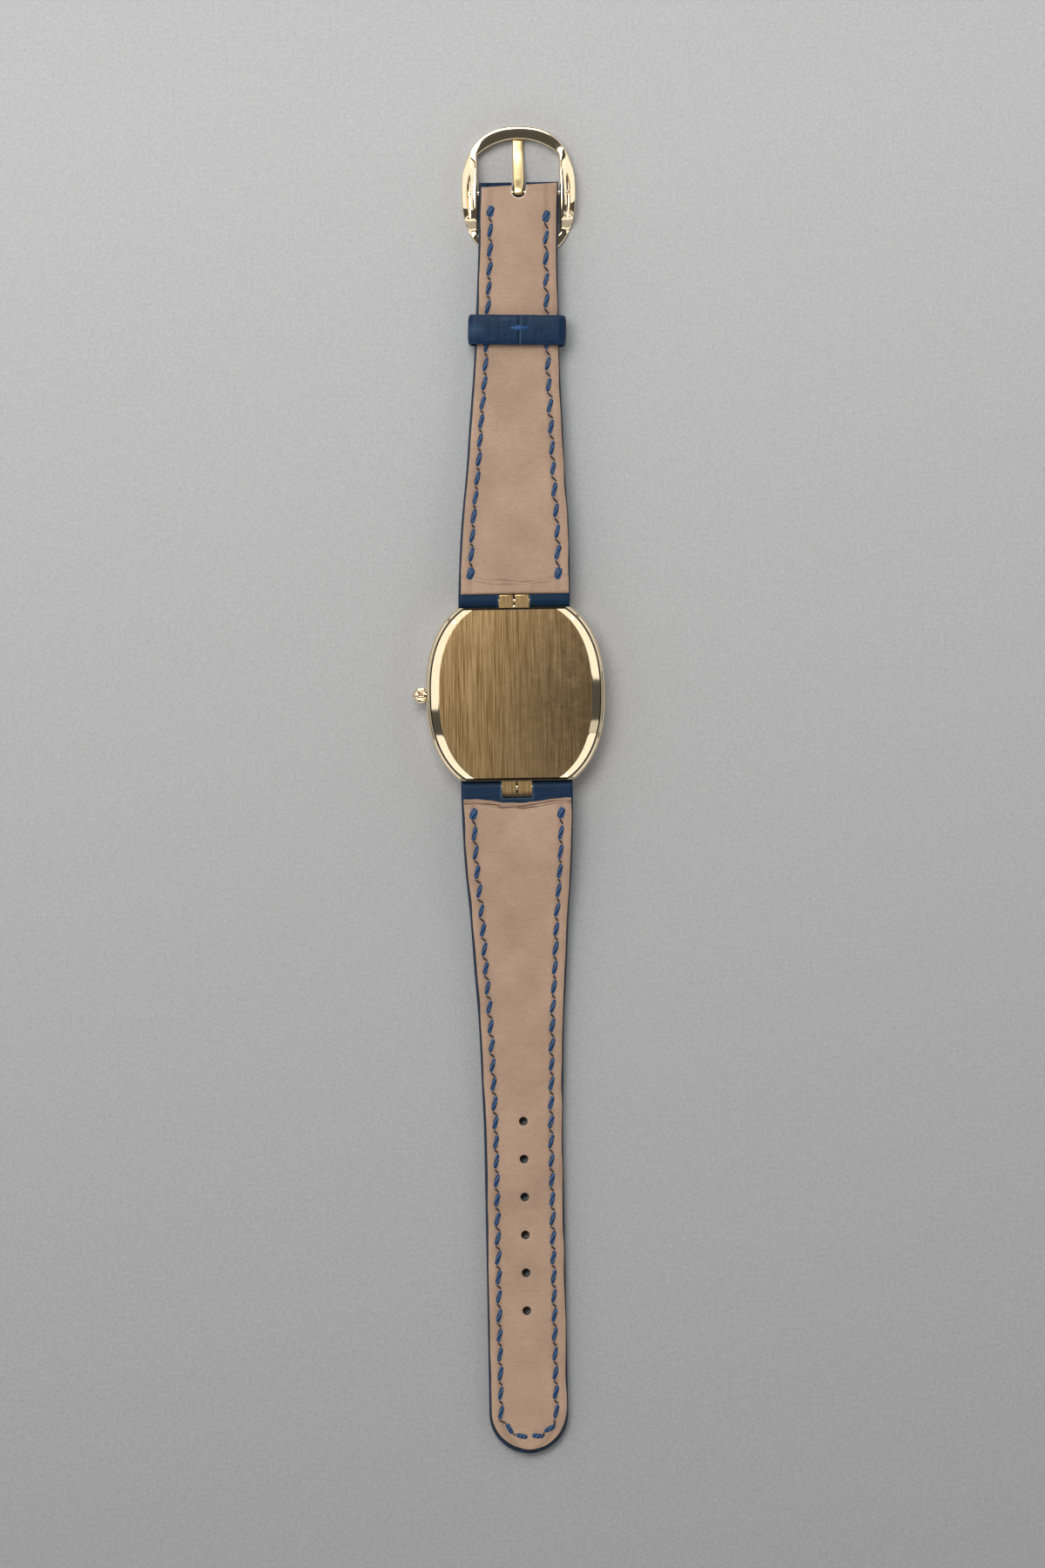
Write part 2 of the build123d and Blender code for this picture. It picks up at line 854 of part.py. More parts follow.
def make_hour_wheel():
    """Hour wheel whose pipe carries the hour hand."""
    turn = meshed_turn(0, minute_pinion_teeth, minute_wheel_place, hour_wheel_teeth, centre_place)
    top = hour_level + motion_wheel_height
    gear = pinion(hour_wheel_teeth, hour_module, hour_level, top, turn)
    pipe = disc(hour_pipe_radius, hour_hand_low, top)
    return (gear + pipe) - disc(cannon_pipe_radius + running_fit, 0, plate_low)


def make_setting_wheel():
    """Intermediate wheel between the sliding pinion and the minute wheel."""
    first_turn = meshed_turn(0, cannon_teeth, centre_place, minute_wheel_teeth, minute_wheel_place)
    turn = meshed_turn(
        first_turn, minute_wheel_teeth, minute_wheel_place, setting_wheel_teeth, setting_wheel_place
    )
    top = minute_level + motion_wheel_height
    gear = pinion(setting_wheel_teeth, motion_module, minute_level, top, turn)
    return Pos(*setting_wheel_place) * (gear - disc(post_radius + running_fit, 0, plate_low))


def flat_lever(start, end, pin_high):
    """Flat lever on a post at start with an upright pin at end."""
    face = hull([(start, lever_width), (end, lever_pin_radius + running_fit)])
    body = prism(face, lever_low, lever_low + lever_height)
    body += disc(lever_pin_radius, lever_low, pin_high, end)
    return body - disc(post_radius + running_fit, lever_low - overrun, lever_low + overrun, start)


def make_setting_lever():
    """Lever that the stem's groove turns when the crown is pulled."""
    return flat_lever(lever_place, (lever_pin_place, 0), stem_height - stem_pilot_radius - face_gap)


def make_yoke():
    """Yoke whose pin rides in the sliding pinion's groove."""
    return flat_lever(yoke_place, yoke_pin_place, stem_height)


# Train

def make_centre_wheel():
    """Centre wheel and pinion on the long centre arbor."""
    turn = meshed_turn(0, barrel_teeth, barrel_place, centre_pinion_teeth, centre_place)
    low = first_level - pinion_overlap
    body = pinion(centre_pinion_teeth, barrel_module, low, second_level, turn)
    body += wheel(centre_teeth, centre_module, third_level)
    body += pivoted_arbor() + disc(centre_pipe_radius, minute_hand_low, bridge_low - face_gap)
    return body


def make_third_wheel():
    """Third wheel low on its arbor and its pinion above."""
    turn = meshed_turn(0, centre_teeth, centre_place, third_pinion_teeth, third_place)
    high = third_level + wheel_thickness + pinion_overlap
    body = pinion(third_pinion_teeth, centre_module, third_level - pinion_overlap, high, turn)
    body += wheel(third_teeth, third_module, first_level) + pivoted_arbor()
    return Pos(*third_place) * body


def make_fourth_wheel():
    """Fourth wheel high on its arbor and its pinion below."""
    turn = meshed_turn(0, third_teeth, third_place, fourth_pinion_teeth, fourth_place)
    high = first_level + wheel_thickness + pinion_overlap
    body = pinion(fourth_pinion_teeth, third_module, first_level - pinion_overlap, high, turn)
    body += wheel(fourth_teeth, fourth_module, third_level) + pivoted_arbor()
    return Pos(*fourth_place) * body


def escape_face():
    """Fifteen slim slanted teeth round a spoked ring."""
    root = escape_radius * escape_root_share
    pitch = tau / escape_teeth
    points = []
    for tooth in range(escape_teeth):
        angle = pitch * tooth
        lean = angle + pitch * escape_reach_share
        back, width = pitch * escape_back_share, pitch * escape_tip_share
        points.append((root * cos(angle - back), root * sin(angle - back)))
        points.append((escape_radius * cos(lean - width), escape_radius * sin(lean - width)))
        points.append((escape_radius * cos(lean), escape_radius * sin(lean)))
        points.append((root * cos(angle + width), root * sin(angle + width)))
    openings = spokes(wheel_hub, root - wheel_spoke, wheel_spoke, escape_arms)
    return make_face(Polyline(*points, close=True)) - openings


def make_escape_wheel():
    """Escape wheel below its pinion."""
    turn = meshed_turn(0, fourth_teeth, fourth_place, escape_pinion_teeth, escape_place)
    high = third_level + wheel_thickness + pinion_overlap
    body = pinion(escape_pinion_teeth, fourth_module, third_level - pinion_overlap, high, turn)
    body += prism(escape_face(), second_level, second_level + escape_thickness) + pivoted_arbor()
    return Pos(*escape_place) * body


def make_pallet_fork():
    """Lever with two stones outside the escape wheel's teeth and a notched head."""
    towards_escape = fork_direction - 180
    dx, dy = balance_place[0] - fork_place[0], balance_place[1] - fork_place[1]
    to_balance = degrees(atan2(dy, dx))
    tail = Pos(fork_length / 2, 0) * Rectangle(fork_length, fork_width)
    head = Pos(fork_length - fork_notch_depth, 0) * Circle(fork_head_width / 2)
    notch = Rectangle(2 * fork_notch_depth, fork_notch_width)
    notch = Pos(fork_length + fork_notch_depth / 2, 0) * notch
    lever = Rot(0, 0, to_balance) * ((tail + head) - notch)
    stone_reach = escape_radius + stone_gap + stone_width / 2
    half_span = degrees(asin(stone_span / fork_pivot_distance))
    for side in (1, -1):
        stone = polar(stone_reach, 180 + side * half_span)
        stone = (stone[0] + fork_pivot_distance, stone[1])
        arm = hull([((0, 0), fork_width / 2), (stone, stone_width / 2)])
        lever += Rot(0, 0, towards_escape) * arm
    lever += Circle(wheel_hub - wheel_spoke)
    body = prism(lever, second_level, second_level + escape_thickness)
    low, high = plate_top, pallet_bridge_low
    body += disc(pivot_radius, low - pivot_depth, high + pallet_bridge_thickness)
    body += disc(arbor_radius, low + face_gap, high - face_gap)
    return Pos(*fork_place) * body


def make_balance_wheel():
    """Two-armed balance on its staff, with roller and impulse pin."""
    top = balance_low + balance_height
    inside = balance_radius - balance_rim
    rim = Circle(balance_radius) - spokes(wheel_hub, inside, balance_arm_width, balance_arms)
    body = prism(rim, balance_low, top)
    roller_low = balance_low - roller_thickness
    body += disc(roller_radius, roller_low, balance_low)
    pin_low = second_level + escape_thickness + face_gap
    towards_fork = atan2(fork_place[1] - balance_place[1], fork_place[0] - balance_place[0])
    pin_place = (impulse_reach * cos(towards_fork), impulse_reach * sin(towards_fork))
    body += disc(impulse_radius, pin_low, roller_low, pin_place)
    body += disc(arbor_radius, plate_top + face_gap, cock_low - face_gap)
    body += disc(pivot_radius, plate_top - pivot_depth, cock_low + pivot_depth)
    return Pos(*balance_place) * body


def spiral_face(inner, outer, turns, band):
    """Flat spiral strip of even width from an inner to an outer radius."""
    steps = turns * spiral_steps
    edge_points = ([], [])
    for step in range(steps + 1):
        angle = tau * step / spiral_steps
        radius = inner + (outer - inner) * step / steps
        for points, shift in zip(edge_points, (-band / 2, band / 2)):
            points.append(((radius + shift) * cos(angle), (radius + shift) * sin(angle)))
    return make_face(Polyline(*edge_points[0], *reversed(edge_points[1]), close=True))


def make_hairspring():
    """Flat spiral spring between the balance and its cock."""
    face = spiral_face(hairspring_inner, hairspring_outer, hairspring_turns, hairspring_band)
    stud = Pos(hairspring_outer, 0) * Circle(stud_radius)
    coil = prism(face, hairspring_low, hairspring_low + hairspring_height)
    return Pos(*balance_place) * (coil + prism(stud, hairspring_low, cock_low))


# Barrel and winding wheels

barrel_low = first_level - pinion_overlap / 2
barrel_top = third_level - barrel_gap
barrel_outside = gear_radius(barrel_teeth, barrel_module) - tooth_root_share * barrel_module
barrel_inside = barrel_outside - barrel_wall
spring_low = barrel_low + barrel_floor + face_gap
spring_top = barrel_top - barrel_cover_height - face_gap


def make_barrel_drum():
    """Open drum with the great wheel's teeth round its floor."""
    body = pinion(barrel_teeth, barrel_module, barrel_low, barrel_low + wheel_thickness)
    body += disc(barrel_outside, barrel_low, barrel_top)
    body -= disc(barrel_inside, barrel_low + barrel_floor, barrel_top + overrun)
    return Pos(*barrel_place) * (body - disc(barrel_arbor_radius + running_fit, 0, barrel_top))


def make_barrel_cover():
    """Lid snapped into the drum."""
    lid = disc(barrel_inside, barrel_top - barrel_cover_height, barrel_top)
    return Pos(*barrel_place) * (lid - disc(barrel_arbor_radius + running_fit, 0, bridge_top))


def make_barrel_arbor():
    """Arbor with its hub inside the drum, running in plate and bridge."""
    body = disc(barrel_hub_radius, spring_low, spring_top)
    body += disc(barrel_arbor_radius, plate_top - pivot_depth, winding_level + winding_wheel_height)
    body -= disc(screw_radius, winding_level, bridge_top)
    return Pos(*barrel_place) * body


def make_mainspring():
    """Flat spiral spring between the arbor's hub and the drum's wall."""
    inner, outer = barrel_hub_radius + mainspring_gap, barrel_inside - mainspring_gap
    face = spiral_face(inner, outer, mainspring_turns, mainspring_band)
    return Pos(*barrel_place) * prism(face, spring_low, spring_top)


def make_ratchet_wheel():
    """Solid wheel on the barrel arbor in the bridge's recess."""
    turn = meshed_turn(0, crown_wheel_teeth, crown_wheel_place, ratchet_teeth, barrel_place)
    top = winding_level + winding_wheel_height
    body = pinion(ratchet_teeth, winding_module, winding_level, top, turn)
    return Pos(*barrel_place) * (body - disc(barrel_arbor_radius, 0, back_inside))


def make_crown_wheel():
    """Wheel that carries the crown's turning to the ratchet wheel."""
    top = winding_level + winding_wheel_height
    body = pinion(crown_wheel_teeth, winding_module, winding_level, top)
    return Pos(*crown_wheel_place) * (body - disc(crown_wheel_boss_radius + running_fit, 0, back_inside))


def crown_wheel_screw():
    """Screw whose wide head holds the crown wheel on its boss."""
    top = winding_level + winding_wheel_height + face_gap
    body = disc(crown_wheel_boss_radius + wheel_rim, top, top + screw_head_height / 2)
    return (Pos(*crown_wheel_place) * body) + screw(crown_wheel_place, bridge_low, top)


def make_ratchet_screw():
    """Screw that holds the ratchet wheel on the barrel arbor."""
    return Pos(*barrel_place) * screw((0, 0), winding_level, winding_level + winding_wheel_height)


def make_click():
    """Pawl beside the ratchet wheel, on a post in the recess."""
    tip_reach = tip_radius(ratchet_teeth, winding_module) + click_tooth_gap + click_arm_width / 2
    tip = polar(tip_reach, click_direction + click_tip_angle, barrel_place)
    face = hull([(click_place, click_radius), (tip, click_arm_width / 2)])
    body = prism(face, winding_level, winding_level + winding_wheel_height)
    return body - disc(post_radius + running_fit, 0, back_inside, click_place)


def make_click_spring():
    """Straight leaf behind the click."""
    gap = click_radius + click_spring_width + face_gap
    leaf = Pos(gap, 0) * Rectangle(click_spring_width, click_spring_length)
    foot = Pos(gap, -click_spring_length / 2) * Circle(click_spring_foot)
    face = Rot(0, 0, click_direction) * (leaf + foot)
    spring = prism(face, winding_level - face_gap, winding_level + winding_wheel_height)
    return Pos(*click_place) * spring


# Plates and bridges

def bridge_screw_places(directions):
    """Places of screws on the movement's rim."""
    return [polar(bridge_screw_reach, direction) for direction in directions]


def train_bridge_face():
    """Outline of the bridge over the train, clear of the balance."""
    places = bridge_jewel_places + bridge_screw_places(train_bridge_screws)
    face = hull([(place, bridge_boss_radius) for place in places]) & Circle(bridge_radius)
    return face - Pos(*balance_place) * Circle(balance_radius + balance_clearance)


def barrel_bridge_face():
    """Outline of the bridge over the barrel and the winding wheels."""
    margin = wheel_recess_gap + recess_wall
    circles = [
        (barrel_place, tip_radius(barrel_teeth, barrel_module)),
        (crown_wheel_place, tip_radius(crown_wheel_teeth, winding_module) + margin),
        (click_place, bridge_boss_radius),
    ]
    places = bridge_screw_places(barrel_bridge_screws)
    circles += [(place, bridge_boss_radius) for place in places]
    face = hull(circles) & Circle(bridge_radius)
    places = [centre_place, third_place] + bridge_screw_places(train_bridge_screws)
    return face - hull([(place, bridge_boss_radius + bridge_spacing) for place in places])


def jewel_seat(place, low, high):
    """Stepped hole for a jewel and its oil sink."""
    sink = disc(oil_sink_radius, low, high + overrun, place)
    return disc(jewel_radius, low, low + pivot_depth, place) + sink


def make_train_bridge():
    """Bridge that carries the upper pivots of the train."""
    body = prism(train_bridge_face(), bridge_low, bridge_top)
    for place in bridge_jewel_places:
        body -= jewel_seat(place, bridge_low, bridge_top)
    for place in bridge_screw_places(train_bridge_screws):
        body -= disc(screw_radius, bridge_low - overrun, bridge_top + overrun, place)
    return body


def make_barrel_bridge():
    """Bridge with sunk seats for the ratchet wheel, crown wheel and click."""
    body = prism(barrel_bridge_face(), bridge_low, bridge_top)
    floor = bridge_low + recess_floor
    ratchet_reach = tip_radius(ratchet_teeth, winding_module) + wheel_recess_gap
    crown_reach = tip_radius(crown_wheel_teeth, winding_module) + wheel_recess_gap
    body -= disc(ratchet_reach, floor, bridge_top + overrun, barrel_place)
    body -= disc(crown_reach, floor, bridge_top + overrun, crown_wheel_place)
    body -= disc(click_recess_radius, floor, bridge_top + overrun, click_place)
    boss_top = winding_level + winding_wheel_height + face_gap
    body += disc(crown_wheel_boss_radius, floor, boss_top, crown_wheel_place)
    body += disc(post_radius, floor, winding_level + winding_wheel_height, click_place)
    window_low = winding_pinion_place - winding_pinion_length / 2 - slot_gap
    window_high = winding_pinion_place + winding_pinion_length / 2 + slot_gap
    reach = winding_pinion_radius + slot_gap
    body -= block((window_low, window_high), (-reach, reach), (bridge_low - overrun, floor + face_gap))
    body -= disc(barrel_arbor_radius + running_fit, bridge_low - overrun, bridge_top, barrel_place)
    body -= disc(screw_radius, bridge_low - overrun, bridge_top + overrun, crown_wheel_place)
    for place in bridge_screw_places(barrel_bridge_screws):
        body -= disc(screw_radius, bridge_low - overrun, bridge_top + overrun, place)
    return body


def make_balance_cock():
    """Cock over the balance with its foot on the plate."""
    arm = hull([(balance_place, cock_width / 2), (cock_foot_place, cock_foot_radius)])
    arm = arm & Circle(bridge_radius)
    body = prism(arm, cock_low, cock_low + cock_thickness)
    foot = Pos(*cock_foot_place) * Circle(cock_foot_radius) & Circle(bridge_radius - plate_wall)
    body += prism(foot, plate_top, cock_low)
    body -= jewel_seat(balance_place, cock_low, cock_low + cock_thickness)
    stud_place = (balance_place[0] + hairspring_outer, balance_place[1])
    body -= disc(stud_radius + stud_gap, 0, cock_low, stud_place)
    return body - disc(screw_radius, plate_top - overrun, back_inside, cock_foot_place)


def pallet_bridge_ends():
    """Places of the pallet bridge's two feet, square to the line to the escape wheel."""
    half = pallet_bridge_length / 2
    return [polar(side * half, fork_direction - 90, fork_place) for side in (1, -1)]


def make_pallet_bridge():
    """Small bridge over the pallet fork on two feet."""
    ends = pallet_bridge_ends()
    radius = pallet_bridge_width / 2
    face = hull([(end, radius) for end in ends])
    body = prism(face, pallet_bridge_low, pallet_bridge_low + pallet_bridge_thickness)
    for end in ends:
        body += disc(radius / 2, plate_top, pallet_bridge_low, end)
    return body - disc(pivot_radius + running_fit, 0, back_inside, fork_place)


def make_mainplate():
    """Round plate with its rims, pillars, posts, pivot holes and stem channel."""
    inner = movement_radius - plate_wall
    body = disc(movement_radius, dial_back, bridge_low)
    body -= disc(inner, dial_back - overrun, plate_low) + disc(inner, plate_top, bridge_low + overrun)
    screw_places = bridge_screw_places(barrel_bridge_screws + train_bridge_screws)
    for place in screw_places:
        body += disc(pillar_radius, plate_top, bridge_low, place)
    for place in (minute_wheel_place, setting_wheel_place):
        body += disc(post_radius, hour_level, plate_low, place)
    for place in (lever_place, yoke_place):
        body += disc(post_radius, lever_low, plate_low, place)
    for place in plate_jewel_places:
        body -= disc(jewel_radius, plate_top - pivot_depth, plate_top + overrun, place)
        body -= disc(oil_sink_radius, plate_low - overrun, plate_top, place)
    body -= disc(arbor_radius + running_fit, plate_low - overrun, plate_top + overrun)
    barrel_hole = barrel_arbor_radius + running_fit
    body -= disc(barrel_hole, plate_top - pivot_depth, plate_top + overrun, barrel_place)
    for place in screw_places + [cock_foot_place]:
        body -= disc(screw_radius, plate_low - overrun, bridge_low + overrun, place)
    slot_low = winding_pinion_place - winding_pinion_length / 2 - slot_gap
    slot_high = clutch_start + clutch_length + clutch_travel + slot_gap
    reach = winding_pinion_radius + slot_gap
    body -= block((slot_low, slot_high), (-reach, reach), (lever_low, bridge_low))
    body -= rod(stem_radius + running_fit, -movement_radius - overrun, slot_high, 0, stem_height)
    pilot = stem_pilot_radius + running_fit
    body -= rod(pilot, slot_high - overrun, slot_high + stem_pilot_length, 0, stem_height)
    pin_reach = lever_pin_radius + slot_gap
    pin_low = lever_pin_place - crown_travel - pin_reach
    pin_room = ((pin_low, slot_low + overrun), (-pin_reach, pin_reach))
    return body - block(*pin_room, (plate_low - face_gap, stem_height))


def make_jewels():
    """Pierced jewels in the plate and the bridges."""
    seats = [(place, bridge_low) for place in bridge_jewel_places]
    seats += [(place, plate_top - pivot_depth) for place in plate_jewel_places]
    seats.append((balance_place, cock_low))
    rings = []
    for place, low in seats:
        ring = disc(jewel_radius, low, low + pivot_depth, place)
        rings.append(ring - disc(pivot_radius + running_fit, low - overrun, low + overrun, place))
    return group(rings)


def make_bridge_screws():
    """Screws of the two large bridges, the balance cock and the crown wheel."""
    places = bridge_screw_places(barrel_bridge_screws + train_bridge_screws)
    screws = [screw(place, plate_low, bridge_top) for place in places]
    screws.append(screw(cock_foot_place, plate_low, cock_low + cock_thickness))
    screws.append(crown_wheel_screw())
    return group(screws)


# Movement ring and its clamps

clamp_start = movement_radius - clamp_overlap
clamp_screw_places = [
    polar(movement_radius + clamp_screw_place, direction) for direction in clamp_directions
]


def clamp_plates(low, high, gap=0):
    """Plates at both clamps' places, grown by a gap."""
    plates = []
    for direction in clamp_directions:
        length = (clamp_start - gap, clamp_start + clamp_length + gap)
        plate = block(length, (-clamp_width / 2 - gap, clamp_width / 2 + gap), (low, high))
        plates.append(Rot(0, 0, direction) * plate)
    return plates


def make_movement_ring():
    """Oval ring that centres the round movement in the case, with two sunk seats."""
    face = cavity(case_fit) - Circle(movement_radius + case_fit)
    body = prism(face, dial_back, bridge_top)
    channel = tube_radius + case_fit
    body -= rod(channel, -case_half_width, -movement_radius / 2, 0, stem_height)
    for seat in clamp_plates(bridge_low, bridge_top + overrun, case_fit):
        body -= seat
    for place in clamp_screw_places:
        body -= disc(screw_radius, bridge_low - clamp_screw_length, bridge_low, place)
    return body


def make_casing_clamps():
    """Two plates that hold the rim of the movement down in its ring."""
    clamps = []
    for plate, place in zip(clamp_plates(bridge_low, bridge_low + clamp_thickness), clamp_screw_places):
        clamps.append(plate - disc(screw_radius, bridge_low, bridge_top, place))
    return group(clamps)


def make_casing_screws():
    """Screws of the casing clamps."""
    low, seat = bridge_low - clamp_screw_length, bridge_low + clamp_thickness
    return group([screw(place, low, seat) for place in clamp_screw_places])


# Straps

def strap_outline(end_width, length, inset=0, round_tip=False):
    """Flat outline of a strap, from behind its bar at Y 0 to its end."""
    half_lug, half_end = strap_lug_width / 2 - inset, end_width / 2 - inset
    start = -lug_fold_radius - overrun
    edge = [(half_lug, 0)]
    for share, width_share in strap_taper_shares[1:]:
        half = half_end + (half_lug - half_end) * width_share
        edge.append((half, share * strap_taper_length))
    tip_start = length - half_end if round_tip else short_fold_end + overrun
    edge.append((half_end, tip_start))
    side = Spline(*edge, tangents=[(0, 1), (0, 1)])
    mirrored = Spline(*[(-x, y) for x, y in edge], tangents=[(0, 1), (0, 1)])
    lines = [
        Polyline((-half_lug, 0), (-half_lug, start), (half_lug, start), (half_lug, 0)),
        side,
        mirrored,
    ]
    if round_tip:
        lines.append(ThreePointArc((half_end, tip_start), (0, length - inset), (-half_end, tip_start)))
    else:
        lines.append(Line((half_end, tip_start), (-half_end, tip_start)))
    return make_face(lines)


def lug_notch():
    """Clearance that a strap leaves round its lug as it swings."""
    half = lug_width / 2 + lug_notch_gap
    along, up = lug_reach - bar_reach - lug_round, lug_top - bar_height - lug_round
    reach = hypot(along, up) + lug_round + lug_sweep_gap
    return block((-half, half), (-2 * lug_fold_radius, reach), (0, back_outside))


def place_strap(solid, side):
    """Strap piece turned to its end of the case and moved to its bar."""
    if side < 0:
        solid = Rot(0, 0, 180) * solid
    return Pos(0, side * bar_reach, 0) * solid


def heights(start, flat, end, end_flat, shares):
    """Points of a face: straight over each fold, and falling between by shares."""
    along, height = start
    length, fall = end[0] - flat - end_flat, height - end[1]
    points = [start, (flat, height)]
    for along_share, height_share in shares:
        points.append((flat + length * along_share, end[1] + fall * height_share))
    return points + [(end[0] - end_flat, end[1]), end]


fold_under = bar_height - lug_fold_radius
fold_over = bar_height + lug_fold_radius
buckle_bar_height = short_lift + buckle_fold_radius
buckle_over = buckle_bar_height + buckle_fold_radius
short_fold_end = short_length + buckle_fold_slack + buckle_fold_radius
long_top = long_tip_thickness - lining_thickness
long_low = heights(
    (0, fold_under), lip_start, (long_length, 0), long_length - long_settle, long_low_shares
)
long_high = heights(
    (0, fold_over), flap_length, (long_length, long_top), flap_length, long_high_shares
)
short_low = heights(
    (0, fold_under), lip_start, (short_length, short_lift), short_length - short_settle, short_low_shares
)
short_high = heights(
    (0, fold_over), flap_length, (short_length, buckle_over), flap_length, short_high_shares
)


def side_curve(points, lift):
    """Side view of a face: straight ends joined by a smooth fall."""
    raised = [(along, height + lift) for along, height in points]
    fall = Spline(*raised[1:-1], tangents=[(1, 0), (1, 0)])
    return [Line(raised[0], raised[1]), fall, Line(raised[-2], raised[-1])]


def side_layer(low, low_lift, high, high_lift):
    """Side view of a layer between two faces, pushed across the strap's width."""
    ends = []
    for index in (0, -1):
        bottom = (low[index][0], low[index][1] + low_lift)
        top = (high[index][0], high[index][1] + high_lift)
        ends.append(Line(bottom, top))
    face = make_face(side_curve(low, low_lift) + side_curve(high, high_lift) + ends)
    return extrude(Plane.YZ * face, strap_lug_width, both=True)


def across(start, end, low, high):
    """Box across a strap between two distances from its bar and two heights."""
    return block((-strap_lug_width, strap_lug_width), (start, end), (low, high))


def fold(along, height, radius, facing):
    """Half tube of leather round a bar, open away from the fold."""
    tube = rod(radius, -strap_lug_width, strap_lug_width, along, height)
    half = strap_lug_width + overrun
    tube -= rod(radius - leather_thickness, -half, half, along, height)
    reach = sorted((along, along + facing * 2 * radius))
    return tube & across(reach[0], reach[1], 0, back_outside)


def lean_outline(outline, lean):
    """Strap outline turned a little about the middle of its bar."""
    return prism(Rot(0, 0, lean) * outline, -overrun, back_outside + overrun)


def strap_holes():
    """Row of adjusting holes along the long strap."""
    holes = []
    for index in range(hole_count):
        place = (0, hole_first + index * hole_pitch)
        holes.append(disc(hole_radius, -overrun, back_outside, place))
    return Rot(0, 0, long_lean) * group(holes)


def tongue_notch():
    """Slot in the short strap's end for the buckle's tongue."""
    start = short_length - tongue_notch_depth
    half = tongue_notch_width / 2
    end = short_fold_end + overrun
    slot = block((-half, half), (start, end), (-overrun, back_outside))
    slot += disc(half, -overrun, back_outside, (0, start))
    return Pos(short_end_shift, 0, 0) * slot


short_end_shift = -short_length * tan(radians(short_lean))


def long_outline(inset=0):
    """Long strap's outline from above, leaning a little as it lies."""
    outline = strap_outline(long_tip_width, long_length, inset, round_tip=True)
    return lean_outline(outline, long_lean)


def short_outline(inset=0):
    """Short strap's outline from above, leaning a little as it lies."""
    return lean_outline(strap_outline(short_end_width, short_length, inset), short_lean)


def lug_fold():
    """Fold round the strap bar with its flap under the lining."""
    flap = across(0, flap_length, fold_over - leather_thickness, fold_over)
    return fold(0, bar_height, lug_fold_radius, -1) + flap


def core_space(end):
    """Room for the padding, clear of the tunnels round the bars."""
    return across(fold_core_start, end, -overrun, back_outside) - across(
        -overrun, flap_length, fold_over - leather_thickness, back_outside
    )


def make_long_outer():
    """Long strap's outer leather with its fold and holes."""
    body = side_layer(long_low, 0, long_low, leather_thickness) + lug_fold()
    body = (body & long_outline()) - lug_notch()
    return place_strap(body - strap_holes(), -1)


def make_long_padding():
    """Long strap's core between the leathers."""
    body = side_layer(long_low, leather_thickness, long_high, 0) & core_space(long_length)
    body = (body & long_outline(padding_inset)) - lug_notch()
    return place_strap(body - strap_holes(), -1)


def make_long_lining():
    """Long strap's calf lining."""
    body = side_layer(long_high, 0, long_high, lining_thickness)
    body &= across(long_lining_start, long_length, 0, back_outside)
    body = (body & long_outline(lining_inset)) - lug_notch()
    return place_strap(body - strap_holes(), -1)


def make_short_outer():
    """Short strap's outer leather, folded round both of its bars."""
    body = side_layer(short_low, 0, short_low, leather_thickness) + lug_fold()
    fold_place = short_length + buckle_fold_slack
    body += fold(fold_place, buckle_bar_height, buckle_fold_radius, 1)
    body += across(short_length, fold_place, short_lift, short_lift + leather_thickness)
    flap_low = buckle_over - leather_thickness
    body += across(short_length - flap_length, fold_place, flap_low, buckle_over)
    body = (body & short_outline()) - lug_notch()
    return place_strap(body - tongue_notch(), 1)


def make_short_padding():
    """Short strap's core between the leathers."""
    end = short_length - buckle_fold_radius
    body = side_layer(short_low, leather_thickness, short_high, 0) & core_space(end)
    flap_low = buckle_over - leather_thickness
    body -= across(short_length - flap_length, short_length, flap_low, back_outside)
    body = (body & short_outline(padding_inset)) - lug_notch()
    return place_strap(body - tongue_notch(), 1)


def make_short_lining():
    """Short strap's calf lining, reaching a little past the buckle bar."""
    body = side_layer(short_high, 0, short_high, lining_thickness)
    end = short_length + short_lining_past
    body += across(short_length, end, buckle_over, buckle_over + lining_thickness)
    body &= across(short_lining_start, end, 0, back_outside)
    body = (body & short_outline(lining_inset)) - lug_notch()
    return place_strap(body - tongue_notch(), 1)


def height_at(points, along):
    """Height and slope in degrees of a face at a distance from the bar."""
    if along <= points[1][0]:
        return points[1][1], 0
    if along >= points[-2][0]:
        return points[-2][1], 0
    curve = side_curve(points, 0)[1]
    low, high = 0, 1
    while high - low > height_search_share:
        middle = (low + high) / 2
        if (curve @ middle).X < along:
            low = middle
        else:
            high = middle
    slope = curve % low
    return (curve @ low).Y, degrees(atan2(slope.Y, slope.X))


def half_width_at(along, end_width):
    """Half width of a strap at a distance from its bar, straight between knots."""
    knots = [(share * strap_taper_length, width_share) for share, width_share in strap_taper_shares]
    knots.append((2 * strap_taper_length, 0))
    for (start, wide), (end, narrow) in zip(knots, knots[1:]):
        if start <= along <= end:
            share = wide + (narrow - wide) * (along - start) / (end - start)
            return (end_width + (strap_lug_width - end_width) * share) / 2
    return end_width / 2


def stitch(x, along, height, slope, turn):
    """One flat rounded stitch lying on the lining."""
    shape = SlotOverall(thread_length, thread_width)
    body = extrude(Rot(0, 0, 90 + turn) * shape, thread_height)
    return Pos(x, along, height) * (Rot(slope, 0, 0) * body)


def stitch_columns(points, end_width, count, first, pitch):
    """Two columns of stitches along a strap's edges."""
    stitches = []
    for index in range(count):
        along = first + index * pitch
        height, slope = height_at(points, along)
        x = half_width_at(along, end_width) - thread_inset
        level = height + lining_thickness + thread_gap
        for side in (1, -1):
            stitches.append(stitch(side * x, along, level, slope, -thread_slant))
    return stitches


